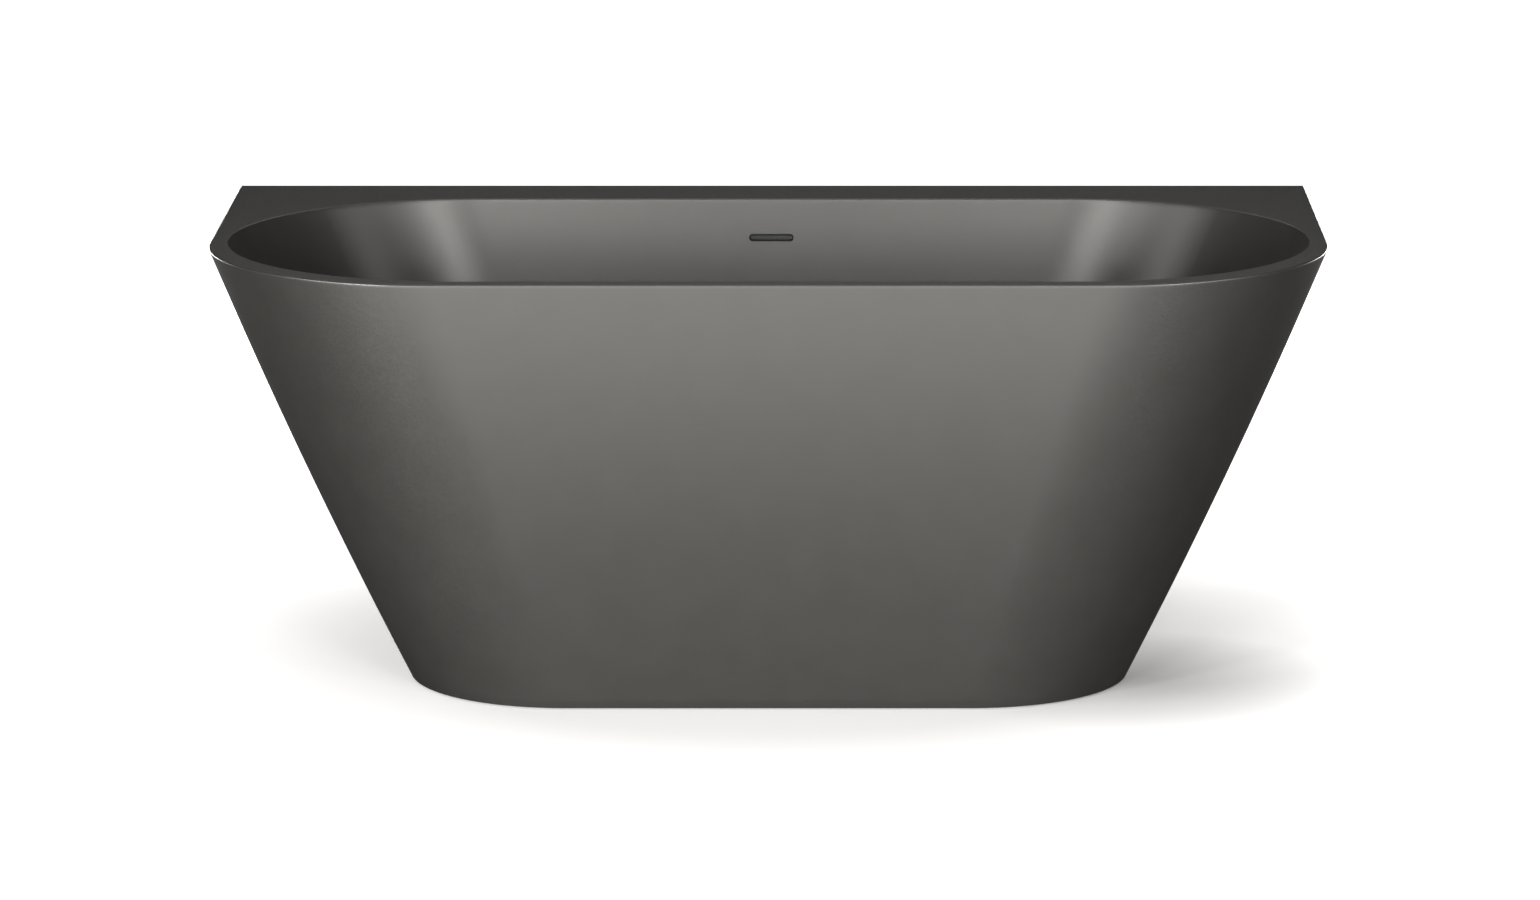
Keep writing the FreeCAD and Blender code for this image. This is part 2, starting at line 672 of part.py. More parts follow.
def make_crossbar(label, side):
    """A square tube from front to back, under the rails, with holes for feet and bolts."""
    body = new_body(label)
    sketch = new_sketch(body, f"{label}_section", "XZ", "-crossbar_back")
    for inset in ("0", "tube_wall"):
        draw_box(sketch, f"{inset} - tube_side / 2", f"tube_side / 2 - {inset}",
                 f"{inset}", f"tube_side - {inset}")
    extrude(body, sketch, "crossbar_back - crossbar_front")
    holes = new_sketch(body, f"{label}_holes", "XY", "-tube_wall")
    for y in FOOT_YS:
        draw_circle(holes, "stud_hole_radius", "0", y)
    for y in RAIL_YS:
        draw_circle(holes, "bolt_hole_radius", "0", y)
    extrude(body, holes, "2 * tube_side", cut=True)
    sides = new_sketch(body, f"{label}_bracket_holes", "YZ")
    for y in BRACKET_SCREW_YS:
        draw_circle(sides, "screw_hole_radius", y, "tube_side / 2")
    extrude(body, sides, "tube_side", cut=True, along_normal=side > 0)
    place(body, x=f"{side} * crossbar_x", z=f"{TUBE_LEVEL} - tube_side")
    return keep(body)


def make_tube_plugs():
    """Plastic plugs in the open ends of the four tubes."""
    plug = new_body("tube_plug")
    head = new_sketch(plug, "tube_plug_head", "YZ")
    draw_box(head, "-tube_side / 2", "tube_side / 2", "0", "tube_side")
    extrude(plug, head, "plug_head")
    stem = new_sketch(plug, "tube_plug_stem", "YZ")
    inset = "tube_wall + running_clearance"
    draw_box(stem, f"{inset} - tube_side / 2", f"tube_side / 2 - ({inset})",
             inset, f"tube_side - ({inset})")
    extrude(plug, stem, "plug_depth", along_normal=False)
    edge_x = value("plug_head")

    def outer_edge(edge):
        return abs(edge.BoundBox.XMin - edge_x) < 0.01
    fillet(plug, "tube_plug_edges", "plug_head / 2", outer_edge)
    sideways = Vector(0, 0, 1)
    seats = []
    for side in (1, -1):
        bar_x = f"{side} * crossbar_x"
        bar_level = f"{TUBE_LEVEL} - tube_side"
        outward = Rotation(sideways, 0 if side > 0 else 180)
        for y in RAIL_YS:
            seats.append((f"{side} * rail_half_length", y, TUBE_LEVEL, outward))
        seats.append((bar_x, "crossbar_back", bar_level, Rotation(sideways, 90)))
        seats.append((bar_x, "crossbar_front", bar_level, Rotation(sideways, -90)))
    group("tube_plugs", plug, seats)


def bolt_body(label, radius, length, head_flats, head_height):
    """A hexagon bolt along +Z, its head below the origin."""
    body = new_body(label)
    head = new_sketch(body, f"{label}_head", "XY")
    draw_regular(head, 6, head_flats)
    extrude(body, head, head_height, along_normal=False)
    shank = new_sketch(body, f"{label}_shank", "XY")
    draw_circle(shank, radius)
    extrude(body, shank, length)
    return body


def nut_body(label, flats, bore, height):
    body = new_body(label)
    sketch = new_sketch(body, f"{label}_section", "XY")
    draw_regular(sketch, 6, flats)
    draw_circle(sketch, bore)
    extrude(body, sketch, height)
    return body


def screw_body(label, length):
    """A pan-head screw along +Z, its head below the origin."""
    return turned_piece(label, [("0", "-screw_head"), ("screw_head_radius / 2", "-screw_head"),
                                ("screw_head_radius", "-screw_head / 3"), ("screw_head_radius", "0"),
                                ("screw_radius", "0"), ("screw_radius", f"({length}) - screw_radius"),
                                ("0", length)])


def make_fasteners():
    crossbar_low = f"{TUBE_LEVEL} - tube_side"
    bolt = bolt_body("frame_bolt", "bolt_radius", "tube_side + tube_wall + bolt_nut + bolt_radius",
                     "bolt_flats", "bolt_head")
    group("frame_bolts", bolt, [(x, y, crossbar_low) for x, y in frame_bolt_spots()])
    nut = nut_body("frame_nut", "bolt_flats", "bolt_radius", "bolt_nut")
    nut_level = f"{TUBE_LEVEL} + tube_wall"
    group("frame_nuts", nut, [(x, y, nut_level) for x, y in frame_bolt_spots()])
    screw = screw_body("board_screw", f"board_screw_end - ({TUBE_LEVEL})")
    group("board_screws", screw, [(x, y, TUBE_LEVEL) for x, y in board_screw_spots()])
    foot_nut = nut_body("foot_nut", "foot_nut_flats", "stud_radius + running_clearance",
                        "foot_nut_height")
    spots = [(x, y, level) for x, y in foot_spots()
             for level in (TUBE_LEVEL, f"{crossbar_low} - foot_nut_height")]
    group("foot_nuts", foot_nut, spots)


def make_rear_brackets():
    """Two angles that tie the crossbars to the shell's back, and their screws."""
    bracket = new_body("rear_bracket")
    sketch = new_sketch(bracket, "rear_bracket_profile", "XY", f"({BRACKET_SCREW_Z}) - bracket_height / 2")
    inner_x = "crossbar_x + tube_side / 2"
    outer_x = f"{inner_x} + bracket_thickness"
    foot_x = f"{outer_x} + bracket_foot"
    rear_y = "width / 2 - shell_thickness"
    draw_polygon(sketch, [(inner_x, "bracket_front"), (outer_x, "bracket_front"),
                          (outer_x, f"{rear_y} - bracket_thickness"),
                          (foot_x, f"{rear_y} - bracket_thickness"), (foot_x, rear_y),
                          (inner_x, rear_y)])
    extrude(bracket, sketch, "bracket_height")
    front_holes = new_sketch(bracket, "rear_bracket_front_holes", "YZ", "crossbar_x")
    for y in BRACKET_SCREW_YS:
        draw_circle(front_holes, "screw_hole_radius", y, BRACKET_SCREW_Z)
    extrude(bracket, front_holes, "tube_side", cut=True)
    rear_hole = new_sketch(bracket, "rear_bracket_rear_hole", "XZ", "-width / 2")
    draw_circle(rear_hole, "screw_hole_radius", BRACKET_SCREW_X, BRACKET_SCREW_Z)
    extrude(bracket, rear_hole, "3 * shell_thickness", cut=True)
    mirrored = doc.addObject("Part::Mirroring", "rear_bracket_mirrored")
    mirrored.Source = bracket
    mirrored.Normal = Vector(1, 0, 0)
    keep_together("rear_brackets", [bracket, mirrored])

    screw = screw_body("bracket_screw", "bracket_thickness + shell_thickness")
    seats = []
    for side in (-1, 1):
        inward = Rotation(Vector(0, 1, 0), -90 * side)
        backward = Rotation(Vector(1, 0, 0), -90)
        face_x = f"{side} * (crossbar_x + tube_side / 2 + bracket_thickness)"
        seats += [(face_x, y, BRACKET_SCREW_Z, inward) for y in BRACKET_SCREW_YS]
        seats.append((f"{side} * ({BRACKET_SCREW_X})", f"{rear_y} - bracket_thickness",
                      BRACKET_SCREW_Z, backward))
    group("bracket_screws", screw, seats)


def make_feet():
    """Four M12 studs, each turning in its own pad."""
    pad_profile = [("0", "0"), ("pad_radius", "0"), ("pad_radius", "pad_rim"),
                   ("pad_neck_radius", "pad_height"),
                   ("pin_radius + running_clearance", "pad_height"),
                   ("pin_radius + running_clearance", "pad_floor"), ("0", "pad_floor")]
    for number, (x, y) in enumerate(foot_spots(), start=1):
        pad = turned_piece(f"foot_pad_{number}", pad_profile, x, y)
        keep(pad)
        stud = new_body(f"foot_stud_{number}")
        pin = new_sketch(stud, f"stud_pin_{number}", "XY", "pad_floor + axial_clearance")
        draw_circle(pin, "pin_radius")
        extrude(stud, pin, "pad_height - pad_floor")
        hexagon = new_sketch(stud, f"stud_hex_{number}", "XY", "pad_height + axial_clearance")
        draw_regular(hexagon, 6, "stud_hex_flats")
        extrude(stud, hexagon, "stud_hex_top - pad_height - axial_clearance")
        shaft = new_sketch(stud, f"stud_shaft_{number}", "XY", "stud_hex_top")
        draw_circle(shaft, "stud_radius")
        extrude(stud, shaft, "stud_top - stud_hex_top")
        place(stud, x, y)
        keep(stud)


# ---------------------------------------------------------------- waste and pop-up plug

SEAT = "(floor_level + upper_gasket)"
BANJO_TOP = "(floor_level - skin - lower_gasket)"


def make_waste_flange():
    body = new_body("waste_flange")
    sketch = new_sketch(body, "flange_profile", "XZ")
    top = f"{SEAT} + flange_thickness"
    draw_polygon(sketch, [("tail_bore", "tail_end"), ("tail_radius", "tail_end"),
                          ("tail_radius", SEAT), ("flange_radius", SEAT),
                          ("flange_radius", f"{SEAT} + flange_thickness / 3"),
                          ("throat_radius + flange_thickness", top), ("throat_radius", top),
                          ("tail_bore", f"{top} - throat_depth")])
    turn(body, sketch)
    hub = new_sketch(body, "flange_hub", "XY", "hub_low")
    draw_circle(hub, "hub_radius")
    extrude(body, hub, "hub_high - hub_low")
    ribs = new_sketch(body, "flange_ribs", "XY", "hub_low")
    reach = "(tail_bore + tail_radius) / 2"
    half = "rib_width / 2"
    draw_polygon(ribs, [(f"-{reach}", f"-{half}"), (f"-{half}", f"-{half}"), (f"-{half}", f"-{reach}"),
                        (half, f"-{reach}"), (half, f"-{half}"), (reach, f"-{half}"),
                        (reach, half), (half, half), (half, reach), (f"-{half}", reach),
                        (f"-{half}", half), (f"-{reach}", half)])
    extrude(body, ribs, "hub_high - hub_low")
    bore = new_sketch(body, "flange_hub_bore", "XY", "hub_high")
    draw_circle(bore, "hub_bore")
    extrude(body, bore, "hub_high - hub_low", cut=True, along_normal=False)
    for number, plane in enumerate(("XZ", "YZ")):
        window = new_sketch(body, f"flange_windows_{number}", plane, "-flange_radius")
        draw_box(window, "-window_width / 2", "window_width / 2", "window_low", "window_high")
        extrude(body, window, "2 * flange_radius", cut=True)
    place(body, y="waste_y")
    return keep(body)


def make_waste_rings():
    upper = ring_profile("gasket_bore", "gasket_radius", "floor_level", SEAT)
    keep(turned_piece("upper_waste_gasket", upper, y="waste_y"))
    lower = ring_profile("gasket_bore", "gasket_radius", BANJO_TOP, "floor_level - skin")
    keep(turned_piece("lower_waste_gasket", lower, y="waste_y"))
    nut = new_body("waste_nut")
    sketch = new_sketch(nut, "waste_nut_section", "XY", f"{BANJO_TOP} - banjo_height - waste_nut_height")
    draw_regular(sketch, 8, "waste_nut_flats")
    draw_circle(sketch, "tail_radius + running_clearance")
    extrude(nut, sketch, "waste_nut_height")
    place(nut, y="waste_y")
    keep(nut)


def make_banjo():
    """A hollow ring round the tail, open inward, with a spigot for the overflow hose."""
    body = new_body("overflow_banjo")
    low = f"({BANJO_TOP} - banjo_height)"
    ring = new_sketch(body, "banjo_ring", "XZ")
    draw_polygon(ring, ring_profile("gasket_bore", "banjo_radius", low, BANJO_TOP))
    turn(body, ring)
    middle = f"{BANJO_TOP} - banjo_height / 2"
    spigot = new_sketch(body, "banjo_spigot", "XZ", "-banjo_reach")
    draw_circle(spigot, "spigot_radius", "0", middle)
    extrude(body, spigot, "banjo_reach - (banjo_radius + banjo_channel_radius) / 2")
    bore = new_sketch(body, "banjo_spigot_bore", "XZ", "-banjo_reach")
    draw_circle(bore, "spigot_bore", "0", middle)
    extrude(body, bore, "banjo_reach - gasket_bore", cut=True)
    channel = new_sketch(body, "banjo_channel", "XZ")
    draw_polygon(channel, ring_profile("tail_radius", "banjo_channel_radius",
                                       f"{low} + banjo_wall", f"{BANJO_TOP} - banjo_wall"))
    turn(body, channel, cut=True)
    place(body, y="waste_y")
    return keep(body)


def make_plug():
    cap_top = "cap_bottom + cap_height"
    cap = new_body("plug_cap")
    sketch = new_sketch(cap, "cap_profile", "XZ")
    draw_polygon(sketch, [("spindle_radius", "cap_bottom"), ("cap_radius", "cap_bottom"),
                          ("cap_radius", "cap_bottom + cap_edge"),
                          ("cap_crown_radius", f"{cap_top} - cap_crown_drop"),
                          ("0", cap_top), ("0", "cap_bottom + cap_edge"),
                          ("spindle_radius", "cap_bottom + cap_edge")])
    turn(cap, sketch)
    place(cap, y="waste_y")
    keep(cap)
    seal = ring_profile("seal_bore", "seal_radius", "cap_bottom - seal_thickness", "cap_bottom")
    keep(turned_piece("plug_seal", seal, y="waste_y"))
    collar_low = "collar_top - collar_thickness"
    boss_low = "cap_bottom - seal_thickness"
    keep(turned_piece("plug_stem", [
        ("0", "spindle_low"), ("guide_radius", "spindle_low"), ("guide_radius", collar_low),
        ("spindle_collar", collar_low), ("spindle_collar", "collar_top"),
        ("spindle_radius", "collar_top"), ("spindle_radius", boss_low),
        ("seal_bore", boss_low), ("seal_bore", "cap_bottom"), ("spindle_radius", "cap_bottom"),
        ("spindle_radius", "cap_bottom + cap_edge"), ("0", "cap_bottom + cap_edge")], y="waste_y"))
    lid_low = "cartridge_high - cartridge_lid"
    spindle_bore = "spindle_radius + running_clearance"
    chamber_low = "cartridge_low + cartridge_floor"
    keep(turned_piece("plug_cartridge", [
        ("0", "cartridge_low"), ("cartridge_radius", "cartridge_low"),
        ("cartridge_radius", "hub_high"), ("cartridge_collar", "hub_high"),
        ("cartridge_collar", "cartridge_collar_top"), ("cartridge_radius", "cartridge_collar_top"),
        ("cartridge_radius", "cartridge_high"), (spindle_bore, "cartridge_high"),
        (spindle_bore, lid_low), ("cartridge_bore", lid_low),
        ("cartridge_bore", chamber_low), ("0", chamber_low)], y="waste_y"))
    make_spring(chamber_low, collar_low)


def make_spring(low, high):
    """A coil spring between the cartridge's floor and the stem's collar."""
    body = new_body("plug_spring")
    sketch = new_sketch(body, "spring_wire", "XZ")
    start = f"({low}) + spring_wire"
    rise = f"(({high}) - ({low}) - 2 * spring_wire - 2 * running_clearance)"
    draw_circle(sketch, "spring_wire", "spring_radius", f"{start} + running_clearance")
    coil = body.newObject("PartDesign::AdditiveHelix", "spring_coil")
    coil.Profile = sketch
    coil.ReferenceAxis = (sketch, ["V_Axis"])
    coil.Mode = 1
    coil.setExpression("Pitch", bound(f"{rise} / spring_turns"))
    coil.setExpression("Turns", bound("spring_turns"))
    coil.setExpression("Height", bound(rise))
    finish_feature(body, coil)
    place(body, y="waste_y")
    keep(body)


# ---------------------------------------------------------------- overflow

def slanted_plate(body, name, half_width, low, high, beyond, back, cut=False):
    """A plate across the tub whose front face lies a distance beyond the bowl's rear wall."""
    sketch = new_sketch(body, name, "YZ", f"-({half_width})")
    front_low = back_wall(low, beyond)
    front_high = back_wall(high, beyond)
    draw_polygon(sketch, [(front_low, low), (back(low), low), (back(high), high), (front_high, high)])
    extrude(body, sketch, f"2 * ({half_width})", cut=cut)


def make_overflow():
    gasket = new_body("overflow_gasket")

    def gasket_back(level):
        return back_wall(level, "box_gasket")
    slanted_plate(gasket, "gasket_plate", "ear_half_width", "ear_low", "ear_high", "0", gasket_back)
    slanted_plate(gasket, "gasket_middle", "box_half_width", "box_low", "box_high", "0", gasket_back)
    window = new_sketch(gasket, "gasket_window", "XZ", "-waste_y")
    draw_box(window, "box_gasket_border - box_half_width", "box_half_width - box_gasket_border",
             "box_low + box_gasket_border", "box_high - box_gasket_border")
    extrude(gasket, window, "box_back - waste_y", cut=True, along_normal=False)
    ear_holes(gasket)
    keep(gasket)

    housing = new_body("overflow_housing")
    slanted_plate(housing, "housing_block", "box_half_width", "box_low", "box_high",
                  "box_gasket", lambda level: "box_back")
    slanted_plate(housing, "housing_ears", "ear_half_width", "ear_low", "ear_high",
                  "box_gasket", lambda level: "ear_back")
    slanted_plate(housing, "housing_hollow", "box_half_width - box_wall", "box_low + box_wall",
                  "box_high - box_wall", "0", lambda level: "box_back - box_wall", cut=True)
    spigot = new_sketch(housing, "housing_spigot", "XY", "box_low + box_wall / 2")
    draw_circle(spigot, "spigot_radius", "0", "overflow_spigot_y")
    extrude(housing, spigot, "box_low + box_wall / 2 - overflow_spigot_low", along_normal=False)
    bore = new_sketch(housing, "housing_spigot_bore", "XY", "box_low + 2 * box_wall")
    draw_circle(bore, "spigot_bore", "0", "overflow_spigot_y")
    extrude(housing, bore, "box_low + 2 * box_wall - overflow_spigot_low", cut=True, along_normal=False)
    ear_holes(housing)
    keep(housing)

    bite = back_wall("slot_level", "-ear_screw_bite")
    screw = screw_body("overflow_screw", f"ear_back - ({bite})")
    forward = Rotation(Vector(1, 0, 0), 90)
    group("overflow_screws", screw,
          [(f"{side} * ear_screw_x", "ear_back", "slot_level", forward) for side in (-1, 1)])


def ear_holes(body):
    sketch = new_sketch(body, f"{body.Name}_ear_holes", "XZ", "-box_back")
    for side in (-1, 1):
        draw_circle(sketch, "screw_hole_radius", f"{side} * ear_screw_x", "slot_level")
    extrude(body, sketch, "box_back - waste_y", cut=True)


HOSE_LOW_LEVEL = f"({BANJO_TOP} - banjo_height / 2)"
HOSE_FRONT = "(waste_y + banjo_radius + hose_gap)"
HOSE_TOP = "(box_low - hose_gap / 2)"


def make_hose():
    """The overflow hose: down from the housing, one bend, forward to the banjo."""
    body = new_body("overflow_hose")
    route = new_sketch(body, "hose_route", "YZ")
    x, bend = value("overflow_spigot_y"), value("hose_bend")
    low, high = value(HOSE_LOW_LEVEL), value(HOSE_TOP)
    front = value(HOSE_FRONT)
    down = route.addGeometry(Part.LineSegment(Vector(x, high, 0), Vector(x, low + bend, 0)))
    corner = draw_arc(route, x - bend, low + bend, bend, -90, 0)
    along = route.addGeometry(Part.LineSegment(Vector(x - bend, low, 0), Vector(front, low, 0)))
    join_tangent(route, down, 2, corner, 2)
    join_tangent(route, corner, 1, along, 1)
    pin_point(route, down, 1, "overflow_spigot_y", HOSE_TOP)
    pin_point(route, along, 2, HOSE_FRONT, HOSE_LOW_LEVEL)
    route.addConstraint(Sketcher.Constraint("Vertical", down))
    route.addConstraint(Sketcher.Constraint("Horizontal", along))
    pin_radius(route, corner, "hose_bend")
    section = new_sketch(body, "hose_section", "XY", HOSE_TOP)
    draw_circle(section, "hose_radius", "0", "overflow_spigot_y")
    draw_circle(section, "hose_bore", "0", "overflow_spigot_y")
    pipe = body.newObject("PartDesign::AdditivePipe", "hose_pipe")
    pipe.Profile = section
    pipe.Spine = (route, [])
    finish_feature(body, pipe)
    keep(body)


def make_hose_clips():
    """A band and its screw housing at each end of the hose."""
    clip = new_body("hose_clip")
    band = new_sketch(clip, "clip_band", "XY")
    draw_circle(band, "hose_radius + running_clearance")
    draw_circle(band, "hose_radius + clip_thickness")
    extrude(clip, band, "clip_width")
    block = new_sketch(clip, "clip_block", "XY")
    draw_box(block, "-clip_block", "clip_block", "hose_radius + clip_thickness / 2",
             "hose_radius + clip_thickness + clip_block")
    extrude(clip, block, "clip_width")
    upper = ("0", "overflow_spigot_y", f"{HOSE_TOP} - clip_setback - clip_width")
    lower = ("0", f"{HOSE_FRONT} + clip_setback", HOSE_LOW_LEVEL, Rotation(Vector(1, 0, 0), -90))
    group("hose_clips", clip, [upper, lower])


# ---------------------------------------------------------------- trap and outlet

def make_trap():
    body = new_body("trap_body")
    pot = new_sketch(body, "trap_pot", "XZ")
    draw_polygon(pot, [("trap_neck_bore", "trap_low"), ("trap_radius", "trap_low"),
                       ("trap_radius", "trap_high"), ("trap_neck_radius", "trap_high"),
                       ("trap_neck_radius", "trap_neck_top"), ("trap_neck_bore", "trap_neck_top")])
    turn(body, pot)
    socket = new_sketch(body, "trap_socket", "XZ", "-socket_reach")
    draw_circle(socket, "socket_radius", "0", "outlet_level")
    extrude(body, socket, "socket_reach - trap_neck_radius - 2 * trap_wall")
    chamber = new_sketch(body, "trap_chamber", "XZ")
    draw_polygon(chamber, [("0", "trap_low"), ("trap_bore", "trap_low"),
                           ("trap_bore", "trap_high - trap_wall"), ("dip_radius", "trap_high - trap_wall"),
                           ("dip_radius", "dip_low"), ("0", "dip_low")])
    turn(body, chamber, cut=True)
    seat = new_sketch(body, "trap_socket_seat", "XZ", "-socket_reach")
    draw_circle(seat, "pipe_radius + running_clearance", "0", "outlet_level")
    extrude(body, seat, "socket_depth", cut=True)
    bore = new_sketch(body, "trap_socket_bore", "XZ", "-socket_reach")
    draw_circle(bore, "pipe_radius - pipe_wall", "0", "outlet_level")
    extrude(body, bore, "socket_reach - trap_neck_radius", cut=True)
    place(body, y="waste_y")
    keep(body)

    cap_bore = "trap_bore - 2 * running_clearance"
    keep(turned_piece("trap_cap", [
        ("0", "cap_disc_low"), ("cap_disc_radius", "cap_disc_low"),
        ("cap_disc_radius", "cap_disc_high"), (cap_bore, "cap_disc_high"),
        (cap_bore, "cap_spigot_high"), (f"{cap_bore} - trap_wall", "cap_spigot_high"),
        (f"{cap_bore} - trap_wall", "cap_disc_high"), ("0", "cap_disc_high")], y="waste_y"))
    seal = ring_profile("trap_bore", "trap_radius", "cap_disc_high", "trap_low")
    keep(turned_piece("trap_cap_seal", seal, y="waste_y"))

    thread = "trap_neck_radius + running_clearance"
    tail = "tail_radius + running_clearance"
    keep(turned_piece("trap_nut", [
        (thread, "trap_nut_low"), ("trap_nut_radius", "trap_nut_low"),
        ("trap_nut_radius", "trap_nut_high - nut_chamfer"),
        ("trap_nut_radius - nut_chamfer", "trap_nut_high"), (tail, "trap_nut_high"),
        (tail, "trap_nut_shoulder"), (thread, "trap_nut_shoulder")], y="waste_y"))
    washer = ring_profile("trap_neck_bore", "trap_neck_radius", "trap_neck_top", "tail_end")
    keep(turned_piece("trap_washer", washer, y="waste_y"))


def outlet_ring(label, profile):
    """A piece turned about the outlet's axis; its levels run backward from the waste's axis."""
    body = new_body(label)
    sketch = new_sketch(body, f"{label}_profile", "XY")
    draw_polygon(sketch, profile)
    turn(body, sketch)
    place(body, y="waste_y", z="outlet_level")
    return keep(body)


def make_outlet():
    thread = "socket_radius + running_clearance"
    pipe_hole = "pipe_radius + axial_clearance"
    seal_back = "socket_reach + outlet_seal"
    outlet_ring("outlet_nut", [
        (thread, "outlet_nut_front"), ("outlet_nut_radius", "outlet_nut_front"),
        ("outlet_nut_radius", "outlet_nut_back - nut_chamfer"),
        ("outlet_nut_radius - nut_chamfer", "outlet_nut_back"), (pipe_hole, "outlet_nut_back"),
        (pipe_hole, seal_back), (thread, seal_back)])
    outlet_ring("outlet_seal", ring_profile("pipe_radius", "socket_radius", "socket_reach", seal_back))
    end = "pipe_end - waste_y"
    mark_low = "pipe_mark - waste_y"
    mark_high = f"{mark_low} + pipe_mark_width"
    start = "socket_reach - socket_depth"
    groove = "pipe_radius - pipe_mark_depth"
    outlet_ring("outlet_pipe", [
        ("pipe_radius - pipe_wall", start), ("pipe_radius", start), ("pipe_radius", mark_low),
        (groove, mark_low), (groove, mark_high), ("pipe_radius", mark_high),
        ("pipe_radius", f"{end} - 2 * pipe_chamfer"), ("pipe_radius - pipe_chamfer", end),
        ("pipe_radius - pipe_wall", end)])


# ---------------------------------------------------------------- the whole tub

def check_and_export():
    doc.recompute()
    faults = [item.Name for item in doc.Objects
              if "Invalid" in item.State or "Error" in item.State or not item.isValid()]
    for piece in subparts:
        shape = piece.Shape
        if shape.isNull() or not shape.isValid() or not shape.Solids:
            faults.append(piece.Label)
    if faults:
        raise RuntimeError(f"these objects failed: {faults}")
    os.makedirs("parts", exist_ok=True)
    for piece in subparts:
        piece.Shape.exportStep(os.path.join("parts", f"{piece.Label}.step"))
        print(f"{piece.Label}: {len(piece.Shape.Solids)} solids, {piece.Shape.Volume / 1000:.1f} cm3")


def main():
    fill_sheet()
    make_outer_shell()
    make_bowl()
    make_boards()
    make_rail("front_rail", "front_rail_y")
    make_rail("rear_rail", "rear_rail_y")
    make_crossbar("left_crossbar", -1)
    make_crossbar("right_crossbar", 1)
    make_tube_plugs()
    make_fasteners()
    make_rear_brackets()
    make_feet()
    make_waste_flange()
    make_waste_rings()
    make_banjo()
    make_plug()
    make_overflow()
    make_hose()
    make_hose_clips()
    make_trap()
    make_outlet()
    check_and_export()


main()
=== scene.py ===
"""Looks of the back-to-wall bathtub: fine skins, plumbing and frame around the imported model, in metres."""

import json
import math

import bmesh
import bpy
from mathutils import Matrix, Vector


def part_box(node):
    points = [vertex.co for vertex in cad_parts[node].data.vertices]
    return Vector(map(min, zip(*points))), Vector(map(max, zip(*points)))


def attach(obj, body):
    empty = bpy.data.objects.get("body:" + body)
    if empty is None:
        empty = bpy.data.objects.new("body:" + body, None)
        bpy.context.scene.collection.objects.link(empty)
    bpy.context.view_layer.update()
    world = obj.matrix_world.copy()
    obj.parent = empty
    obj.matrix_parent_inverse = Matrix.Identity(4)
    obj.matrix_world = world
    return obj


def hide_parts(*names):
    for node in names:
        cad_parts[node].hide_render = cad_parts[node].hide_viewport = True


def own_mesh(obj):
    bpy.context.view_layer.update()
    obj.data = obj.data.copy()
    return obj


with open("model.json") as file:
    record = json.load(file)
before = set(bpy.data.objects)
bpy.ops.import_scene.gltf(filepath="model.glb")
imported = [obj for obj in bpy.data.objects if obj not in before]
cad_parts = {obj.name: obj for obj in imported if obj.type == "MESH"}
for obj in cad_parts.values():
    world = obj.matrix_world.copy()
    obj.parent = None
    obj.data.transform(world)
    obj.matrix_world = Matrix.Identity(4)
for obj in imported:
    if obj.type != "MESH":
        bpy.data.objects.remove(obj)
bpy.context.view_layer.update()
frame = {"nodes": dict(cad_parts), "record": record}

SCENE = bpy.context.scene
NODES = frame["nodes"]

# ---------------------------------------------------------------- driving dimensions, as in the CAD

SHELL_LOW, SHELL_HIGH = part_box("outer_shell")
BOWL_LOW, BOWL_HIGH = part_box("bowl")
HEIGHT = BOWL_HIGH.z
BACK = BOWL_HIGH.y
SEAM = SHELL_HIGH.z
FOOT = SHELL_LOW.z

TOP_HALF_LENGTH = 0.750
BASE_HALF_LENGTH = 0.482
TOP_FRONT = 0.390
BASE_FRONT = 0.332
TOP_CORNER = 0.318
BASE_CORNER = 0.214
BULGE = 0.007
SHELL_THICKNESS = 0.005
SHELL_FLANGE = 0.025
EDGE = 0.002
REAR_EDGE = 0.0012
FOOT_EDGE = 0.0012

MOUTH_HALF_LENGTH = 0.7265
MOUTH_HALF_WIDTH = 0.3195
MOUTH_MIDDLE = -0.0425
FLOOR_LEVEL = 0.130
FLOOR_HALF_LENGTH = 0.500
FLOOR_HALF_WIDTH = 0.252
FLOOR_MIDDLE = -0.038
FLOOR_FILLET = 0.090
SKIN = 0.006
SKIN_AT_FLOOR = 0.004

SERVICE_HALF_WIDTH = 0.300
SERVICE_TOP = 0.400
SERVICE_CORNER = 0.060

WASTE_Y = 0.085
WASTE_HOLE = 0.026
SLOT_LEVEL = 0.526
SLOT_HALF_WIDTH = 0.0305
SLOT_HALF_HEIGHT = 0.00425
SLOT_EDGE = 0.0012


def mix(low, high, share):
    return low + (high - low) * share


def heading(degrees):
    """How far a step of one unit in a direction runs and rises."""
    angle = math.radians(degrees)
    return math.cos(angle), math.sin(angle)


# ---------------------------------------------------------------- mesh helpers

def new_piece(name, points, faces, slot, body="tub", node=None, smooth_below=35):
    """A mesh piece that rides on a body and may stand for a CAD node. It is smooth except over edges sharper
    than smooth_below degrees."""
    mesh = bpy.data.meshes.new(name)
    mesh.from_pydata([tuple(p) for p in points], [], faces)
    mesh.validate()
    tidy = bmesh.new()
    tidy.from_mesh(mesh)
    bmesh.ops.remove_doubles(tidy, verts=tidy.verts, dist=1e-6)
    loose = [edge for edge in tidy.edges if not edge.link_faces]
    bmesh.ops.delete(tidy, geom=loose, context="EDGES")
    bmesh.ops.recalc_face_normals(tidy, faces=tidy.faces)
    tidy.to_mesh(mesh)
    tidy.free()
    mesh.polygons.foreach_set("use_smooth", [True] * len(mesh.polygons))
    mesh.set_sharp_from_angle(angle=math.radians(smooth_below))
    mesh.materials.append(MATERIALS[slot])
    piece = bpy.data.objects.new(name, mesh)
    SCENE.collection.objects.link(piece)
    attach(piece, body)
    if node:
        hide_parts(node)
    return piece


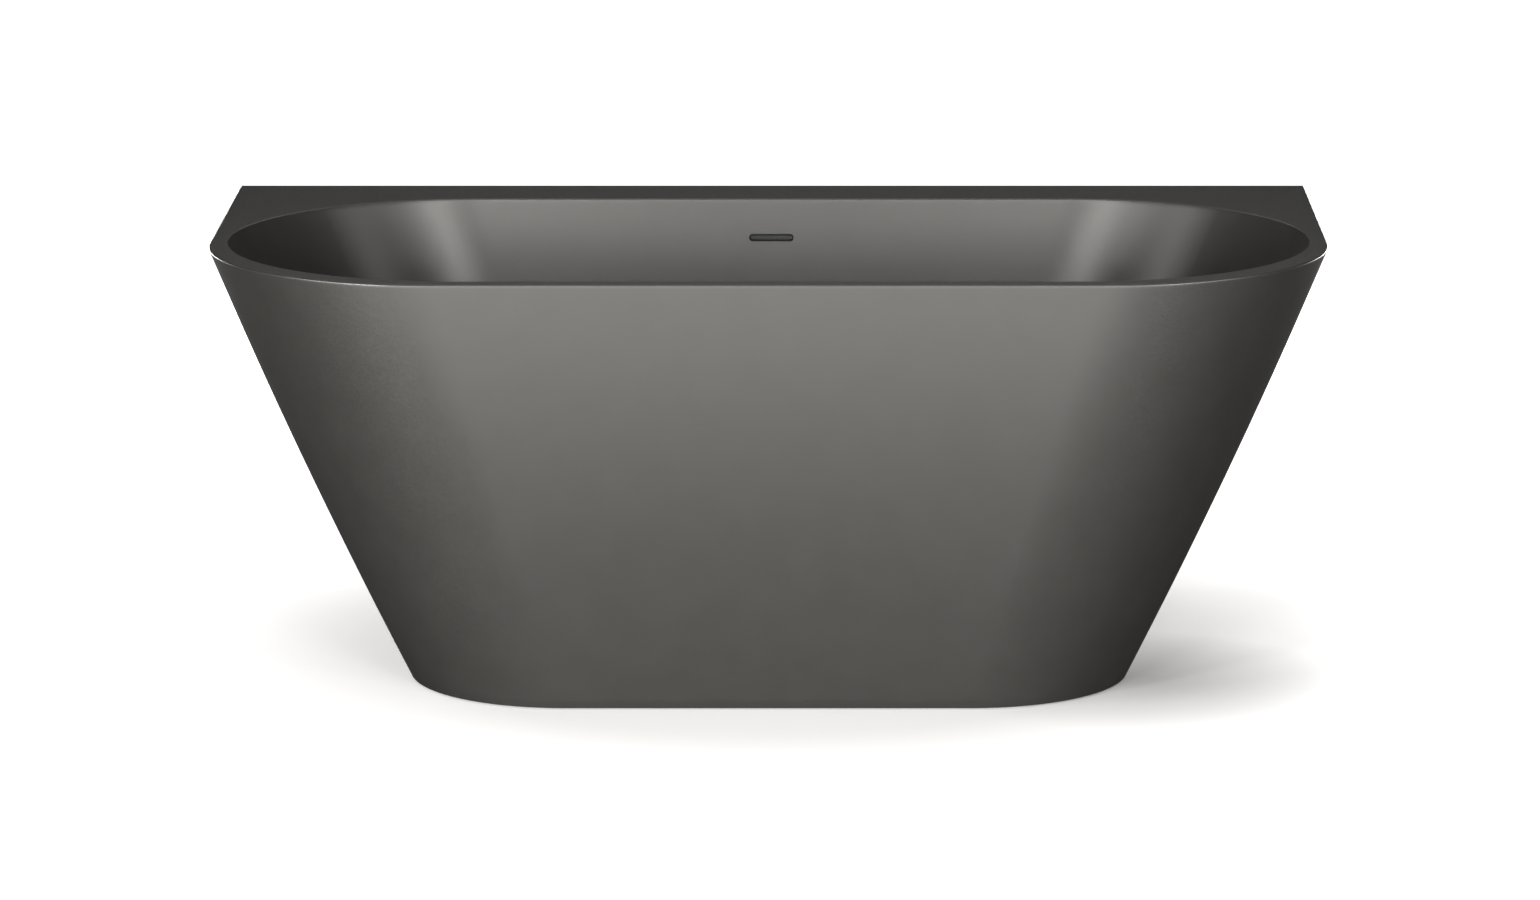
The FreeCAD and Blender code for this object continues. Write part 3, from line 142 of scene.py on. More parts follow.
def ring_faces(rings, columns, closed_rings=True, skip=()):
    """Quads between neighbouring rings of a grid whose points are listed ring by ring."""
    faces = []
    for ring in range(rings if closed_rings else rings - 1):
        above = (ring + 1) % rings
        for column in range(columns):
            if (ring, column) in skip:
                continue
            beside = (column + 1) % columns
            faces.append((ring * columns + column, ring * columns + beside,
                          above * columns + beside, above * columns + column))
    return faces


def capped_faces(rings, columns):
    """The same for an open row of rings, closed by a face at each end."""
    ends = [tuple(range(columns)), tuple(range((rings - 1) * columns, rings * columns))]
    return ring_faces(rings, columns, closed_rings=False) + ends


# ---------------------------------------------------------------- outlines of the tub

# A ring of points round the tub goes from the middle of the front, round one end, to the middle of the
# back, and returns as the mirror of that half. Both outlines have the same stations, so they can be joined.
FRONT_STEPS = 10
CORNER_STEPS = 44
SIDE_STEPS = 8
REAR_CORNER_STEPS = 4
DECK_STEPS = 20
REAR_CORNER_ANGLES = (48, 52)
STRAIGHT_SHARE = round((MOUTH_HALF_LENGTH - MOUTH_HALF_WIDTH) / TOP_HALF_LENGTH, 4)
SLOT_COLUMN_SHARES = [0.108 - 0.0046 * step for step in range(12)]
BACK_SHARES = [1.0, 0.85, 0.7, 0.55, 0.4, 0.28, 0.19, 0.14, *SLOT_COLUMN_SHARES, 0.035, 0.015, 0.0]


def mirrored(half):
    """The whole ring from its half, without repeating the two points on the middle line."""
    return half + [(-x, y, z) for x, y, z in reversed(half[1:-1])]


def outline_half(level, inset=0.0):
    """Half of the D-shaped outline at a height, inset towards its middle: places and outward directions."""
    share = level / HEIGHT
    grow = 4 * BULGE * share * (1 - share) - inset
    half_length = mix(BASE_HALF_LENGTH, TOP_HALF_LENGTH, share) + grow
    front = -mix(BASE_FRONT, TOP_FRONT, share) - grow
    radius = mix(BASE_CORNER, TOP_CORNER, share) + grow
    back = BACK - inset
    straight = half_length * STRAIGHT_SHARE
    half = []
    for step in range(FRONT_STEPS):
        half.append(((half_length - radius) * step / FRONT_STEPS, front, -90.0))
    for step in range(CORNER_STEPS):
        angle = 90 * step / CORNER_STEPS - 90
        run, rise = heading(angle)
        half.append((half_length - radius + radius * run, front + radius + radius * rise, angle))
    for step in range(SIDE_STEPS):
        half.append((half_length, mix(front + radius, back - REAR_EDGE, step / SIDE_STEPS), 0.0))
    for step in range(REAR_CORNER_STEPS):
        angle = 90 * step / REAR_CORNER_STEPS
        run, rise = heading(angle)
        half.append((half_length - REAR_EDGE + REAR_EDGE * run, back - REAR_EDGE + REAR_EDGE * rise, angle))
    for step in range(DECK_STEPS):
        half.append((mix(half_length - REAR_EDGE, straight, step / DECK_STEPS), back, 90.0))
    for share in BACK_SHARES:
        half.append((straight * share, back, 90.0))
    return half


def outline_ring(level, inset=0.0):
    """The whole D-shaped outline at a height."""
    return mirrored([(x, y, level) for x, y, _ in outline_half(level, inset)])


def outline_edge(ball_level, radius, share, upward):
    """A ring of the rounded edge between the outside and a flat above it, or below it. The ball that rolls
    inside the edge touches the slanted wall at share 0 and the flat at share 1."""
    ring = []
    step_up = 0.001
    above = outline_half(ball_level + step_up)
    for (x, y, direction), (next_x, next_y, _) in zip(outline_half(ball_level), above):
        run, rise = heading(direction)
        lean = ((next_x - x) * run + (next_y - y) * rise) / step_up
        tilt = math.hypot(1, lean)
        angle = math.radians(mix(-math.degrees(math.atan(lean)), 90 if upward else -90, share))
        offset = radius * math.cos(angle) - radius / tilt
        offset -= radius * lean / tilt * lean
        ring.append((x + offset * run, y + offset * rise, ball_level + radius * math.sin(angle)))
    return mirrored(ring)


def stadium_stations():
    """For each station of half a ring: the share of the straight side, and the outward direction."""
    stations = [(step / FRONT_STEPS, -90.0) for step in range(FRONT_STEPS)]
    stations += [(1.0, 90 * step / CORNER_STEPS - 90) for step in range(CORNER_STEPS)]
    low, high = REAR_CORNER_ANGLES
    stations += [(1.0, low * step / SIDE_STEPS) for step in range(SIDE_STEPS)]
    stations += [(1.0, mix(low, high, step / REAR_CORNER_STEPS)) for step in range(REAR_CORNER_STEPS)]
    stations += [(1.0, mix(high, 90, step / DECK_STEPS)) for step in range(DECK_STEPS)]
    stations += [(share, 90.0) for share in BACK_SHARES]
    return stations


class BowlSkin:
    """One skin of the bowl: straight lines from the floor's stadium up to the mouth's."""

    def __init__(self, low, high, grow_low, grow_high):
        self.low = low
        self.high = high
        self.length = (FLOOR_HALF_LENGTH + grow_low, MOUTH_HALF_LENGTH + grow_high)
        self.width = (FLOOR_HALF_WIDTH + grow_low, MOUTH_HALF_WIDTH + grow_high)
        self.middle = (FLOOR_MIDDLE, MOUTH_MIDDLE)

    def point(self, station, level):
        """The place of a station on the wall at a height."""
        share = (level - self.low) / (self.high - self.low)
        width = mix(*self.width, share)
        straight = mix(*self.length, share) - width
        along, direction = station
        run, rise = heading(direction)
        return straight * along + width * run, mix(*self.middle, share) + width * rise

    def lean(self, station):
        """How far the wall leans outward for each metre of height at a station."""
        run, rise = heading(station[1])
        width = self.width[1] - self.width[0]
        straight = self.length[1] - self.length[0] - width
        shift = self.middle[1] - self.middle[0]
        return (width + straight * run + shift * rise) / (self.high - self.low)

    def wall(self, level):
        return [(*self.point(station, level), level) for station in stadium_stations()]

    def rounded(self, level, radius, inward, share):
        """A ring of a rounded edge, where the wall meets a flat at a height. The ball that rolls along the
        edge lies inward of the wall on the floor, and outward of it at the mouth."""
        ring = []
        for station in stadium_stations():
            lean = self.lean(station)
            tilt = math.hypot(1, lean)
            side = -1 if inward else 1
            ball_level = level - side * radius
            touch = ball_level + side * radius * lean / tilt
            x, y = self.point(station, touch)
            run, rise = heading(station[1])
            fall = math.degrees(math.atan(lean))
            start, end = (-90, -fall) if inward else (180 - fall, 90)
            out, up = heading(mix(start, end, share))
            offset = side * radius / tilt + radius * out
            ring.append((x + offset * run, y + offset * rise, ball_level + radius * up))
        return ring


def blend_rings(first, second, share):
    return [tuple(mix(a, b, share) for a, b in zip(p, q)) for p, q in zip(first, second)]


def circle_ring(ring, radius, level):
    """A circle round the waste with one point for each point of a ring, in the same directions."""
    headings = [heading(360 * index / len(ring) - 90) for index in range(len(ring))]
    return [(radius * run, WASTE_Y + radius * rise, level) for run, rise in headings]


# ---------------------------------------------------------------- bowl

UNDERSIDE = FLOOR_LEVEL - SKIN
INSIDE = BowlSkin(FLOOR_LEVEL, HEIGHT, 0.0, 0.0)
OUTSIDE = BowlSkin(UNDERSIDE, (HEIGHT + SEAM) / 2, SKIN_AT_FLOOR, SKIN)

FLOOR_SHARES = [0.0, 0.03, 0.1, 0.25, 0.45, 0.65, 0.85]
FILLET_STEPS = 12
WALL_LEVELS = [0.240, 0.290, 0.340, 0.390, 0.440, 0.480, 0.500]
SLOT_ROWS = [SLOT_LEVEL + 0.0015 * step for step in range(-8, 9)]
UPPER_LEVELS = [0.550, 0.565, 0.574]
SKIN_TOP_ROW = 0.560
EDGE_STEPS = 5
EDGE_SHARES = [step / EDGE_STEPS for step in range(EDGE_STEPS + 1)]
DECK_SHARES = [0.02, 0.3, 0.6, 0.98]
BACK_STATION = (0.0, 90.0)


def skin_rings(skin, level, fillet):
    """Rings of a bowl skin from the waste hole up to the last row above the slot."""
    floor_edge = mirrored(skin.rounded(level, fillet, True, 0.0))
    hole = circle_ring(floor_edge, WASTE_HOLE, level)
    rings = [blend_rings(hole, floor_edge, share) for share in FLOOR_SHARES]
    for step in range(FILLET_STEPS + 1):
        rings.append(mirrored(skin.rounded(level, fillet, True, step / FILLET_STEPS)))
    for height in [*WALL_LEVELS, *SLOT_ROWS, *UPPER_LEVELS]:
        rings.append(mirrored(skin.wall(height)))
    return rings


def make_bowl():
    inner = skin_rings(INSIDE, FLOOR_LEVEL, FLOOR_FILLET)
    slot_row = len(FLOOR_SHARES) + FILLET_STEPS + 1 + len(WALL_LEVELS)
    mouth = [mirrored(INSIDE.rounded(HEIGHT, EDGE, False, share)) for share in EDGE_SHARES]
    edge = [outline_edge(HEIGHT - EDGE, EDGE, 1 - share, True) for share in EDGE_SHARES]
    deck = [blend_rings(mouth[-1], edge[0], share) for share in DECK_SHARES]
    rim = [outline_ring(level) for level in (mix(HEIGHT - EDGE, SEAM, 0.5), SEAM)]
    outer = list(reversed(skin_rings(OUTSIDE, UNDERSIDE, FLOOR_FILLET + SKIN)[:-len(UPPER_LEVELS)]))
    under = [mirrored(OUTSIDE.wall(SEAM)), mirrored(OUTSIDE.wall(SKIN_TOP_ROW))]
    rings = inner + mouth + deck + edge + rim + under + outer
    columns = len(rings[0])
    points = [p for ring in rings for p in ring]

    # cells of the slot, which a rounded mouth and a bore through the wall take the place of
    middle = len(stadium_stations()) - 1
    reach = len(BACK_SHARES) - 1 - BACK_SHARES.index(SLOT_COLUMN_SHARES[0])
    first, last = middle - reach, middle + reach
    rows = len(SLOT_ROWS) - 1
    outer_row = len(rings) - slot_row - rows - 1
    skip = {(row, column) for start in (slot_row, outer_row)
            for row in range(start, start + rows) for column in range(first, last)}
    faces = ring_faces(len(rings), columns, True, skip)

    def border(start):
        """Points round the cut cells, as indices: along the bottom, up, back along the top and down."""
        loop = [start * columns + column for column in range(first, last)]
        loop += [row * columns + last for row in range(start, start + rows)]
        loop += [(start + rows) * columns + column for column in range(last, first, -1)]
        loop += [row * columns + first for row in range(start + rows, start, -1)]
        return loop

    inner_border = border(slot_row)
    outer_border = flip_rows(border(outer_row), outer_row, rows, columns)
    straight = SLOT_HALF_WIDTH - SLOT_HALF_HEIGHT

    def slot_loop(border_points, skin, grow, depth):
        """The slot's outline, grown, at a depth behind a skin, nearest to each border point."""
        loop = []
        for index in border_points:
            x, y, z = points[index]
            core = max(-straight, min(straight, x))
            run, rise = x - core, z - SLOT_LEVEL
            reach = math.hypot(run, rise)
            size = SLOT_HALF_HEIGHT + grow
            px, pz = core + run / reach * size, SLOT_LEVEL + rise / reach * size
            wall_y = skin.point(BACK_STATION, pz)[1]
            points.append((px, wall_y + depth, pz))
            loop.append(len(points) - 1)
        return loop

    loops = [inner_border, slot_loop(inner_border, INSIDE, SLOT_EDGE + 0.0004, 0.0)]
    for share in EDGE_SHARES:
        run, rise = heading(90 * share)
        loops.append(slot_loop(inner_border, INSIDE, SLOT_EDGE * (1 - rise), SLOT_EDGE * (1 - run)))
    loops.append(slot_loop(inner_border, OUTSIDE, 0.0, 0.0))
    loops.append(outer_border)
    count = len(inner_border)
    for near, far in zip(loops, loops[1:]):
        for index in range(count):
            beside = (index + 1) % count
            faces.append((near[index], near[beside], far[beside], far[index]))
    new_piece("bowl_skin", points, faces, "tub_finish", node="bowl")


def flip_rows(loop, start, rows, columns):
    """The same loop on a skin whose rows run downward, so that it starts at its lowest row."""
    return [(2 * start + rows - index // columns) * columns + index % columns for index in loop]


def make_overflow_cover():
    """A small cover set into the slot, with a gap all round for the water, on a stem from the housing. It is
    set deep and made black as painted shade for the dark inside of the slot.
    """
    gap, setback, drop = 0.0010, 0.0062, 0.0004
    radius = SLOT_HALF_HEIGHT - gap
    straight = SLOT_HALF_WIDTH - SLOT_HALF_HEIGHT
    outline = []
    for side in (1, -1):
        for step in range(13):
            run, rise = heading(15 * step - 90 * side)
            outline.append((side * straight + radius * run, radius * rise))
    tilt = Matrix.Rotation(-math.atan(INSIDE.lean(BACK_STATION)), 3, "X") @ ALONG_Y
    at = (0, INSIDE.point(BACK_STATION, SLOT_LEVEL)[1] + setback, SLOT_LEVEL - drop)
    # black plastic here is painted shade inside the slot
    planked("slot_cover", outline, 0, 0.002, 0.0005, "black_plastic", at=at, facing=tilt)
    planked("slot_cover_stem", rectangle(-0.004, 0.004, -0.002, 0.002), 0.001, 0.041, 0.0005,
            "black_plastic", at=at, facing=ALONG_Y)


# ---------------------------------------------------------------- skirt

SKIRT_STEPS = 46


def make_skirt():
    rings = []
    for share in EDGE_SHARES:
        rings.append(outline_edge(FOOT + FOOT_EDGE, FOOT_EDGE, 1 - share, False))
    for step in range(1, SKIRT_STEPS + 1):
        rings.append(outline_ring(mix(FOOT + FOOT_EDGE, SEAM, step / SKIRT_STEPS)))
    for step in range(SKIRT_STEPS + 1):
        rings.append(outline_ring(mix(SEAM, FOOT + SHELL_THICKNESS, step / SKIRT_STEPS), SHELL_THICKNESS))
    for level in (FOOT + SHELL_THICKNESS, FOOT):
        rings.append(outline_ring(level, SHELL_FLANGE))
    points = [p for ring in rings for p in ring]
    skirt = new_piece("skirt", points, ring_faces(len(rings), len(rings[0])), "tub_finish",
                      node="outer_shell")
    cut_service_opening(skirt)


def cut_service_opening(skirt):
    """The cut-out for the pipes in the flat back, open at the foot, with rounded upper corners."""
    reach = 2 * SHELL_FLANGE
    outline = [(-SERVICE_HALF_WIDTH, -reach), (SERVICE_HALF_WIDTH, -reach)]
    for side in (1, -1):
        for step in range(13):
            run, rise = heading(7.5 * step)[::side]
            outline.append((side * (SERVICE_HALF_WIDTH - SERVICE_CORNER + SERVICE_CORNER * run),
                            SERVICE_TOP - SERVICE_CORNER + SERVICE_CORNER * rise))
    count = len(outline)
    points = [(x, BACK - reach, z) for x, z in outline] + [(x, BACK + reach, z) for x, z in outline]
    faces = [tuple(range(count)), tuple(range(2 * count - 1, count - 1, -1))]
    faces += [(i, i + count, (i + 1) % count + count, (i + 1) % count) for i in range(count)]
    mesh = bpy.data.meshes.new("service_cutter")
    mesh.from_pydata(points, [], faces)
    cutter = bpy.data.objects.new("service_cutter", mesh)
    SCENE.collection.objects.link(cutter)
    cut = skirt.modifiers.new("service_opening", "BOOLEAN")
    cut.operation = "DIFFERENCE"
    cut.solver = "EXACT"
    cut.object = cutter
    bake_modifiers(skirt)
    bpy.data.objects.remove(cutter)
    skirt.data.set_sharp_from_angle(angle=math.radians(35))


def bake_modifiers(piece):
    """Makes the piece's mesh what its modifiers show."""
    graph = bpy.context.evaluated_depsgraph_get()
    mesh = bpy.data.meshes.new_from_object(piece.evaluated_get(graph))
    piece.modifiers.clear()
    piece.data = mesh


# ---------------------------------------------------------------- turned, planked and swept pieces

TURN_STEPS = 96
UPWARD = Matrix.Identity(3)
BACKWARD = Matrix.Rotation(math.radians(-90), 3, "X")
ALONG_X = Matrix(((0, 0, 1), (1, 0, 0), (0, 1, 0)))
ALONG_Y = Matrix(((1, 0, 0), (0, 0, 1), (0, 1, 0)))


def soften(profile, size, steps=3):
    """A closed profile with its corners rounded, except those on the axis."""
    rounded = []
    for index, corner in enumerate(profile):
        if corner[0] == 0:
            rounded.append(corner)
            continue
        here = Vector(corner)
        before, after = Vector(profile[index - 1]), Vector(profile[(index + 1) % len(profile)])
        reach = min(size, (before - here).length * 0.45, (after - here).length * 0.45)
        start = here + (before - here).normalized() * reach
        end = here + (after - here).normalized() * reach
        for step in range(steps + 1):
            share = step / steps
            rounded.append(tuple(start.lerp(here, share).lerp(here.lerp(end, share), share)))
    return rounded


def ring_band(inner, outer, low, high):
    return [(inner, low), (outer, low), (outer, high), (inner, high)]


def to_side(flats, sides, angle):
    """Distance from the middle of a regular polygon to its side, in a direction."""
    half = math.pi / sides
    return flats / 2 / math.cos((angle + half) % (2 * half) - half)


def turned(name, profile, slot, at=(0, WASTE_Y, 0), facing=UPWARD, sides=6, grip=None, **given):
    """A piece turned about an axis from a closed profile of (radius, level) corners. A third number is a size
    across flats, which cuts that corner to a polygon. A grip of (flutes, depth, radius) hollows the outside
    beyond a radius."""
    points = []
    for radius, level, *flats in profile:
        for step in range(TURN_STEPS):
            angle = 2 * math.pi * step / TURN_STEPS
            reach = min(radius, to_side(flats[0], sides, angle)) if flats else radius
            if grip and radius > grip[2]:
                reach -= grip[1] * (0.5 + 0.5 * math.cos(grip[0] * angle)) ** 2
            spot = Vector((reach * math.cos(angle), reach * math.sin(angle), level))
            points.append(Vector(at) + facing @ spot)
    return new_piece(name, points, ring_faces(len(profile), TURN_STEPS), slot, **given)


def hexagon_profile(bore, flats, low, high, chamfer):
    """A nut or, with no bore, a bolt's head: a hexagon with its corners turned off at both ends."""
    corner = flats / 2 / math.cos(math.radians(30))
    face = flats / 2 * 0.97
    return [(bore, low), (face, low), (corner, low + chamfer, flats), (corner, high - chamfer, flats),
            (face, high), (bore, high)]


def inset_outline(outline, amount):
    """A closed counter-clockwise outline moved inward."""
    moved = []
    for index, corner in enumerate(outline):
        here = Vector(corner)
        first = (here - Vector(outline[index - 1])).normalized()
        second = (Vector(outline[(index + 1) % len(outline)]) - here).normalized()
        inward = Vector((-first.y - second.y, first.x + second.x))
        moved.append(here + inward * (2 * amount / inward.length_squared))
    return moved


def planked(name, outline, low, high, edge, slot, at=(0, 0, 0), facing=UPWARD, **given):
    """A piece cut from a board along a closed counter-clockwise outline, with rounded edges."""
    rings = []
    for share in EDGE_SHARES:
        run, rise = heading(90 * share)
        rings.append((edge * (1 - rise), low + edge * (1 - run)))
    rings += [(inset, low + high - level) for inset, level in reversed(rings)]
    points = []
    for inset, level in rings:
        for x, y in inset_outline(outline, inset):
            points.append(Vector(at) + facing @ Vector((x, y, level)))
    return new_piece(name, points, capped_faces(len(rings), len(outline)), slot, **given)


def rectangle(low_x, high_x, low_y, high_y):
    return [(low_x, low_y), (high_x, low_y), (high_x, high_y), (low_x, high_y)]


def rounded_corners(outline, radius, steps=6):
    """A closed outline whose corners are arcs; radius gives each corner's own, 0 for a sharp one."""
    points = []
    for index, corner in enumerate(outline):
        if not radius[index]:
            points.append(corner)
            continue
        here = Vector(corner)
        before = (Vector(outline[index - 1]) - here).normalized()
        after = (Vector(outline[(index + 1) % len(outline)]) - here).normalized()
        half = before.angle(after) / 2
        middle = here + (before + after).normalized() * (radius[index] / math.sin(half))
        start = here + before * (radius[index] / math.tan(half)) - middle
        end = here + after * (radius[index] / math.tan(half)) - middle
        for step in range(steps + 1):
            points.append(tuple(middle + radius[index] * start.lerp(end, step / steps).normalized()))
    return points


def square_tube(name, middle, start, end, facing, **given):
    """A square steel tube with rounded corners."""
    points = []
    corners = []
    for side, radius in ((TUBE_SIDE, 0.003), (TUBE_SIDE - 2 * TUBE_WALL, 0.0015)):
        corners.append(rounded_corners(rectangle(-side / 2, side / 2, -side / 2, side / 2), [radius] * 4))
    for section, level in ((0, start), (0, end), (1, end), (1, start)):
        for x, y in corners[section]:
            points.append(Vector(middle) + facing @ Vector((x, y, level)))
    return new_piece(name, points, ring_faces(4, len(corners[0])), "frame_steel", **given)


def threaded(name, low, high, radius, pitch, depth, slot, at, **given):
    """A rod with a right-hand thread that runs out at both ends."""
    columns = 32
    rows = round((high - low) / pitch * 8)
    points = []
    for row in range(rows + 1):
        level = mix(low, high, row / rows)
        fade = min(1.0, (level - low) / pitch, (high - level) / pitch)
        for column in range(columns):
            share = column / columns
            crest = abs(2 * ((level / pitch - share) % 1) - 1)
            reach = radius - depth * (1 - crest * fade)
            angle = 2 * math.pi * share
            points.append(Vector(at) + Vector((reach * math.cos(angle), reach * math.sin(angle), level)))
    return new_piece(name, points, capped_faces(rows + 1, columns), slot, **given)


# ---------------------------------------------------------------- waste and plug

SEAT = FLOOR_LEVEL + 0.002
FLANGE_TOP = SEAT + 0.0035
BANJO_TOP = UNDERSIDE - 0.003
BANJO_LOW = BANJO_TOP - 0.028
BANJO_MIDDLE = (BANJO_TOP + BANJO_LOW) / 2
TAIL_BORE = 0.0205
TAIL_RADIUS = 0.0239
TAIL_END = 0.070
HUB_LOW = 0.110
HUB_HIGH = 0.116
CAP_BOTTOM = 0.1448


def make_flange():
    tail = [(TAIL_BORE, TAIL_END), (TAIL_RADIUS - 0.0006, TAIL_END)]
    for step in range(11):
        level = TAIL_END + 0.0012 + 0.002 * step
        tail += [(TAIL_RADIUS, level), (TAIL_RADIUS - 0.0007, level + 0.001)]
    bowl = soften([(TAIL_RADIUS, SEAT), (0.035, SEAT), (0.035, SEAT + 0.0012), (0.028, FLANGE_TOP),
                   (0.0245, FLANGE_TOP), (TAIL_BORE, FLANGE_TOP - 0.0065)], 0.0011)
    turned("waste_dish", tail + bowl, "waste_chrome", node="waste_flange", smooth_below=50)
    turned("waste_hub", soften(ring_band(0.0091, 0.012, HUB_LOW, HUB_HIGH), 0.0008), "waste_chrome",
           node="waste_flange")
    for number, (run, rise) in enumerate(((1, 0), (0, 1), (-1, 0), (0, -1)), start=1):
        reach = (TAIL_BORE + TAIL_RADIUS) / 2
        near, far = sorted((0.0115 * (run + rise), reach * (run + rise)))
        outline = rectangle(near, far, -0.0015, 0.0015) if run else rectangle(-0.0015, 0.0015, near, far)
        planked(f"waste_rib_{number}", outline, HUB_LOW, HUB_HIGH, 0.0006, "waste_chrome",
                at=(0, WASTE_Y, 0), node="waste_flange")


def make_plug():
    cap = [(0.004, CAP_BOTTOM), (0.031, CAP_BOTTOM), (0.031, CAP_BOTTOM + 0.003),
           (0.022, CAP_BOTTOM + 0.005), (0, CAP_BOTTOM + 0.006), (0, CAP_BOTTOM + 0.003),
           (0.004, CAP_BOTTOM + 0.003)]
    turned("cap", soften(cap, 0.0014, 5), "plug_finish", body="plug", node="plug_cap")
    lips = [(0.010, CAP_BOTTOM - 0.003), (0.0215, CAP_BOTTOM - 0.003), (0.0225, CAP_BOTTOM - 0.0022),
            (0.0208, CAP_BOTTOM - 0.0015), (0.0225, CAP_BOTTOM - 0.0008), (0.0215, CAP_BOTTOM),
            (0.010, CAP_BOTTOM)]
    turned("cap_seal", soften(lips, 0.0005), "seal_rubber", body="plug", node="plug_seal")


def make_spring():
    """A coil spring at its length in the CAD model, on a mesh of its own; on the real plug it flattens as the
    plug goes down.
    """
    low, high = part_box("plug_spring")
    wire, coil, turns, steps, columns = 0.0006, 0.0056, 6, 36, 12
    rows = turns * steps
    points = []
    for row in range(rows + 1):
        angle = 2 * math.pi * row / steps
        level = mix(low.z + wire, high.z - wire, row / rows)
        for column in range(columns):
            around = 2 * math.pi * column / columns
            reach = coil + wire * math.cos(around)
            points.append((reach * math.cos(angle), WASTE_Y + reach * math.sin(angle),
                           level + wire * math.sin(around)))
    spring = new_piece("coil_spring", points, capped_faces(rows + 1, columns), "spring_steel",
                       node="plug_spring")
    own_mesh(spring)


def make_waste_rings():
    for name, low, high in (("upper_waste_gasket", FLOOR_LEVEL, SEAT),
                            ("lower_waste_gasket", BANJO_TOP, UNDERSIDE)):
        turned(f"{name}_ring", soften(ring_band(0.0242, 0.034, low, high), 0.0008), "seal_rubber",
               node=name)
    bore = TAIL_RADIUS + 0.00005
    low, high = BANJO_LOW - 0.009, BANJO_LOW
    face, corner = 0.029, 0.060 / 2 / math.cos(math.radians(22.5))
    profile = [(bore, low), (face, low), (corner, low + 0.0012, 0.060), (corner, high - 0.0012, 0.060),
               (face, high), (bore, high)]
    turned("waste_ring_nut", profile, "grey_plastic", sides=8, node="waste_nut")


def make_banjo():
    turned("banjo_ring", soften(ring_band(0.0242, 0.036, BANJO_LOW, BANJO_TOP), 0.0015), "grey_plastic",
           node="overflow_banjo")
    barbs = [(0.0105, 0.033), (0.013, 0.033), (0.013, 0.060), (0.0122, 0.062), (0.0105, 0.062)]
    turned("banjo_spigot", soften(barbs, 0.0006), "grey_plastic", at=(0, WASTE_Y, BANJO_MIDDLE),
           facing=BACKWARD, node="overflow_banjo")
    for low, high in ((BANJO_LOW + 0.005, BANJO_LOW + 0.007), (BANJO_TOP - 0.007, BANJO_TOP - 0.005)):
        turned(f"banjo_bead_{'low' if low < BANJO_MIDDLE else 'high'}",
               soften(ring_band(0.0355, 0.03595, low, high), 0.0003), "grey_plastic",
               node="overflow_banjo")


# ---------------------------------------------------------------- overflow hose

HOSE_Y = 0.302
HOSE_TOP = 0.498
HOSE_FRONT = 0.125
HOSE_BEND = 0.095
HOSE_RADIUS = 0.0154
HOSE_BORE = 0.0131


def hose_spot(distance):
    """The place and the outward direction at a distance along the hose's middle line."""
    down = HOSE_TOP - BANJO_MIDDLE - HOSE_BEND
    bend = HOSE_BEND * math.pi / 2
    if distance < down:
        return Vector((0, HOSE_Y, HOSE_TOP - distance)), Vector((0, 1, 0))
    if distance < down + bend:
        angle = (distance - down) / HOSE_BEND
        outward = Vector((0, math.cos(angle), -math.sin(angle)))
        return Vector((0, HOSE_Y - HOSE_BEND, BANJO_MIDDLE + HOSE_BEND)) + outward * HOSE_BEND, outward
    return Vector((0, HOSE_Y - HOSE_BEND - (distance - down - bend), BANJO_MIDDLE)), Vector((0, 0, -1))


def make_hose():
    """A ribbed hose with plain cuffs, from the housing down and forward to the banjo."""
    length = HOSE_TOP - BANJO_MIDDLE - HOSE_BEND + HOSE_BEND * math.pi / 2 + HOSE_Y - HOSE_BEND - HOSE_FRONT
    cuff, pitch, depth, columns, rows_each = 0.022, 0.0042, 0.0014, 32, 8
    ribs = round((length - 2 * cuff) / pitch)
    stations = [(0.0, HOSE_RADIUS)]
    for step in range(ribs * rows_each + 1):
        distance = mix(cuff, length - cuff, step / (ribs * rows_each))
        wave = 0.5 - 0.5 * math.cos(2 * math.pi * step / rows_each)
        stations.append((distance, HOSE_RADIUS - depth * wave ** 0.6))
    stations.append((length, HOSE_RADIUS))
    inner_steps = 60
    stations += [(length * (1 - step / inner_steps), HOSE_BORE) for step in range(inner_steps + 1)]
    points = []
    for distance, radius in stations:
        middle, outward = hose_spot(distance)
        for column in range(columns):
            angle = 2 * math.pi * column / columns
            points.append(middle + radius * (math.cos(angle) * Vector((1, 0, 0)) + math.sin(angle) * outward))
    new_piece("ribbed_hose", points, ring_faces(len(stations), columns), "hose_plastic",
              node="overflow_hose", smooth_below=60)


def make_clips():
    """Worm-drive clips: a band with the block of its screw."""
    seats = {"upper": ((0, HOSE_Y, HOSE_TOP - 0.014), UPWARD),
             "lower": ((0, HOSE_FRONT + 0.005, BANJO_MIDDLE), BACKWARD)}
    for name, (at, facing) in seats.items():
        band = soften(ring_band(HOSE_RADIUS + 0.00005, HOSE_RADIUS + 0.0012, 0, 0.009), 0.0003)
        turned(f"{name}_clip_band", band, "zinc_steel", at=at, facing=facing, node="hose_clips")
        block = rounded_corners(rectangle(-0.0065, 0.0065, 0.0162, 0.0230), [0, 0, 0.002, 0.002])
        planked(f"{name}_clip_housing", block, 0.0008, 0.0082, 0.0006, "zinc_steel", at=at, facing=facing,
                node="hose_clips")


# ---------------------------------------------------------------- trap and outlet

OUTLET_LEVEL = 0.038


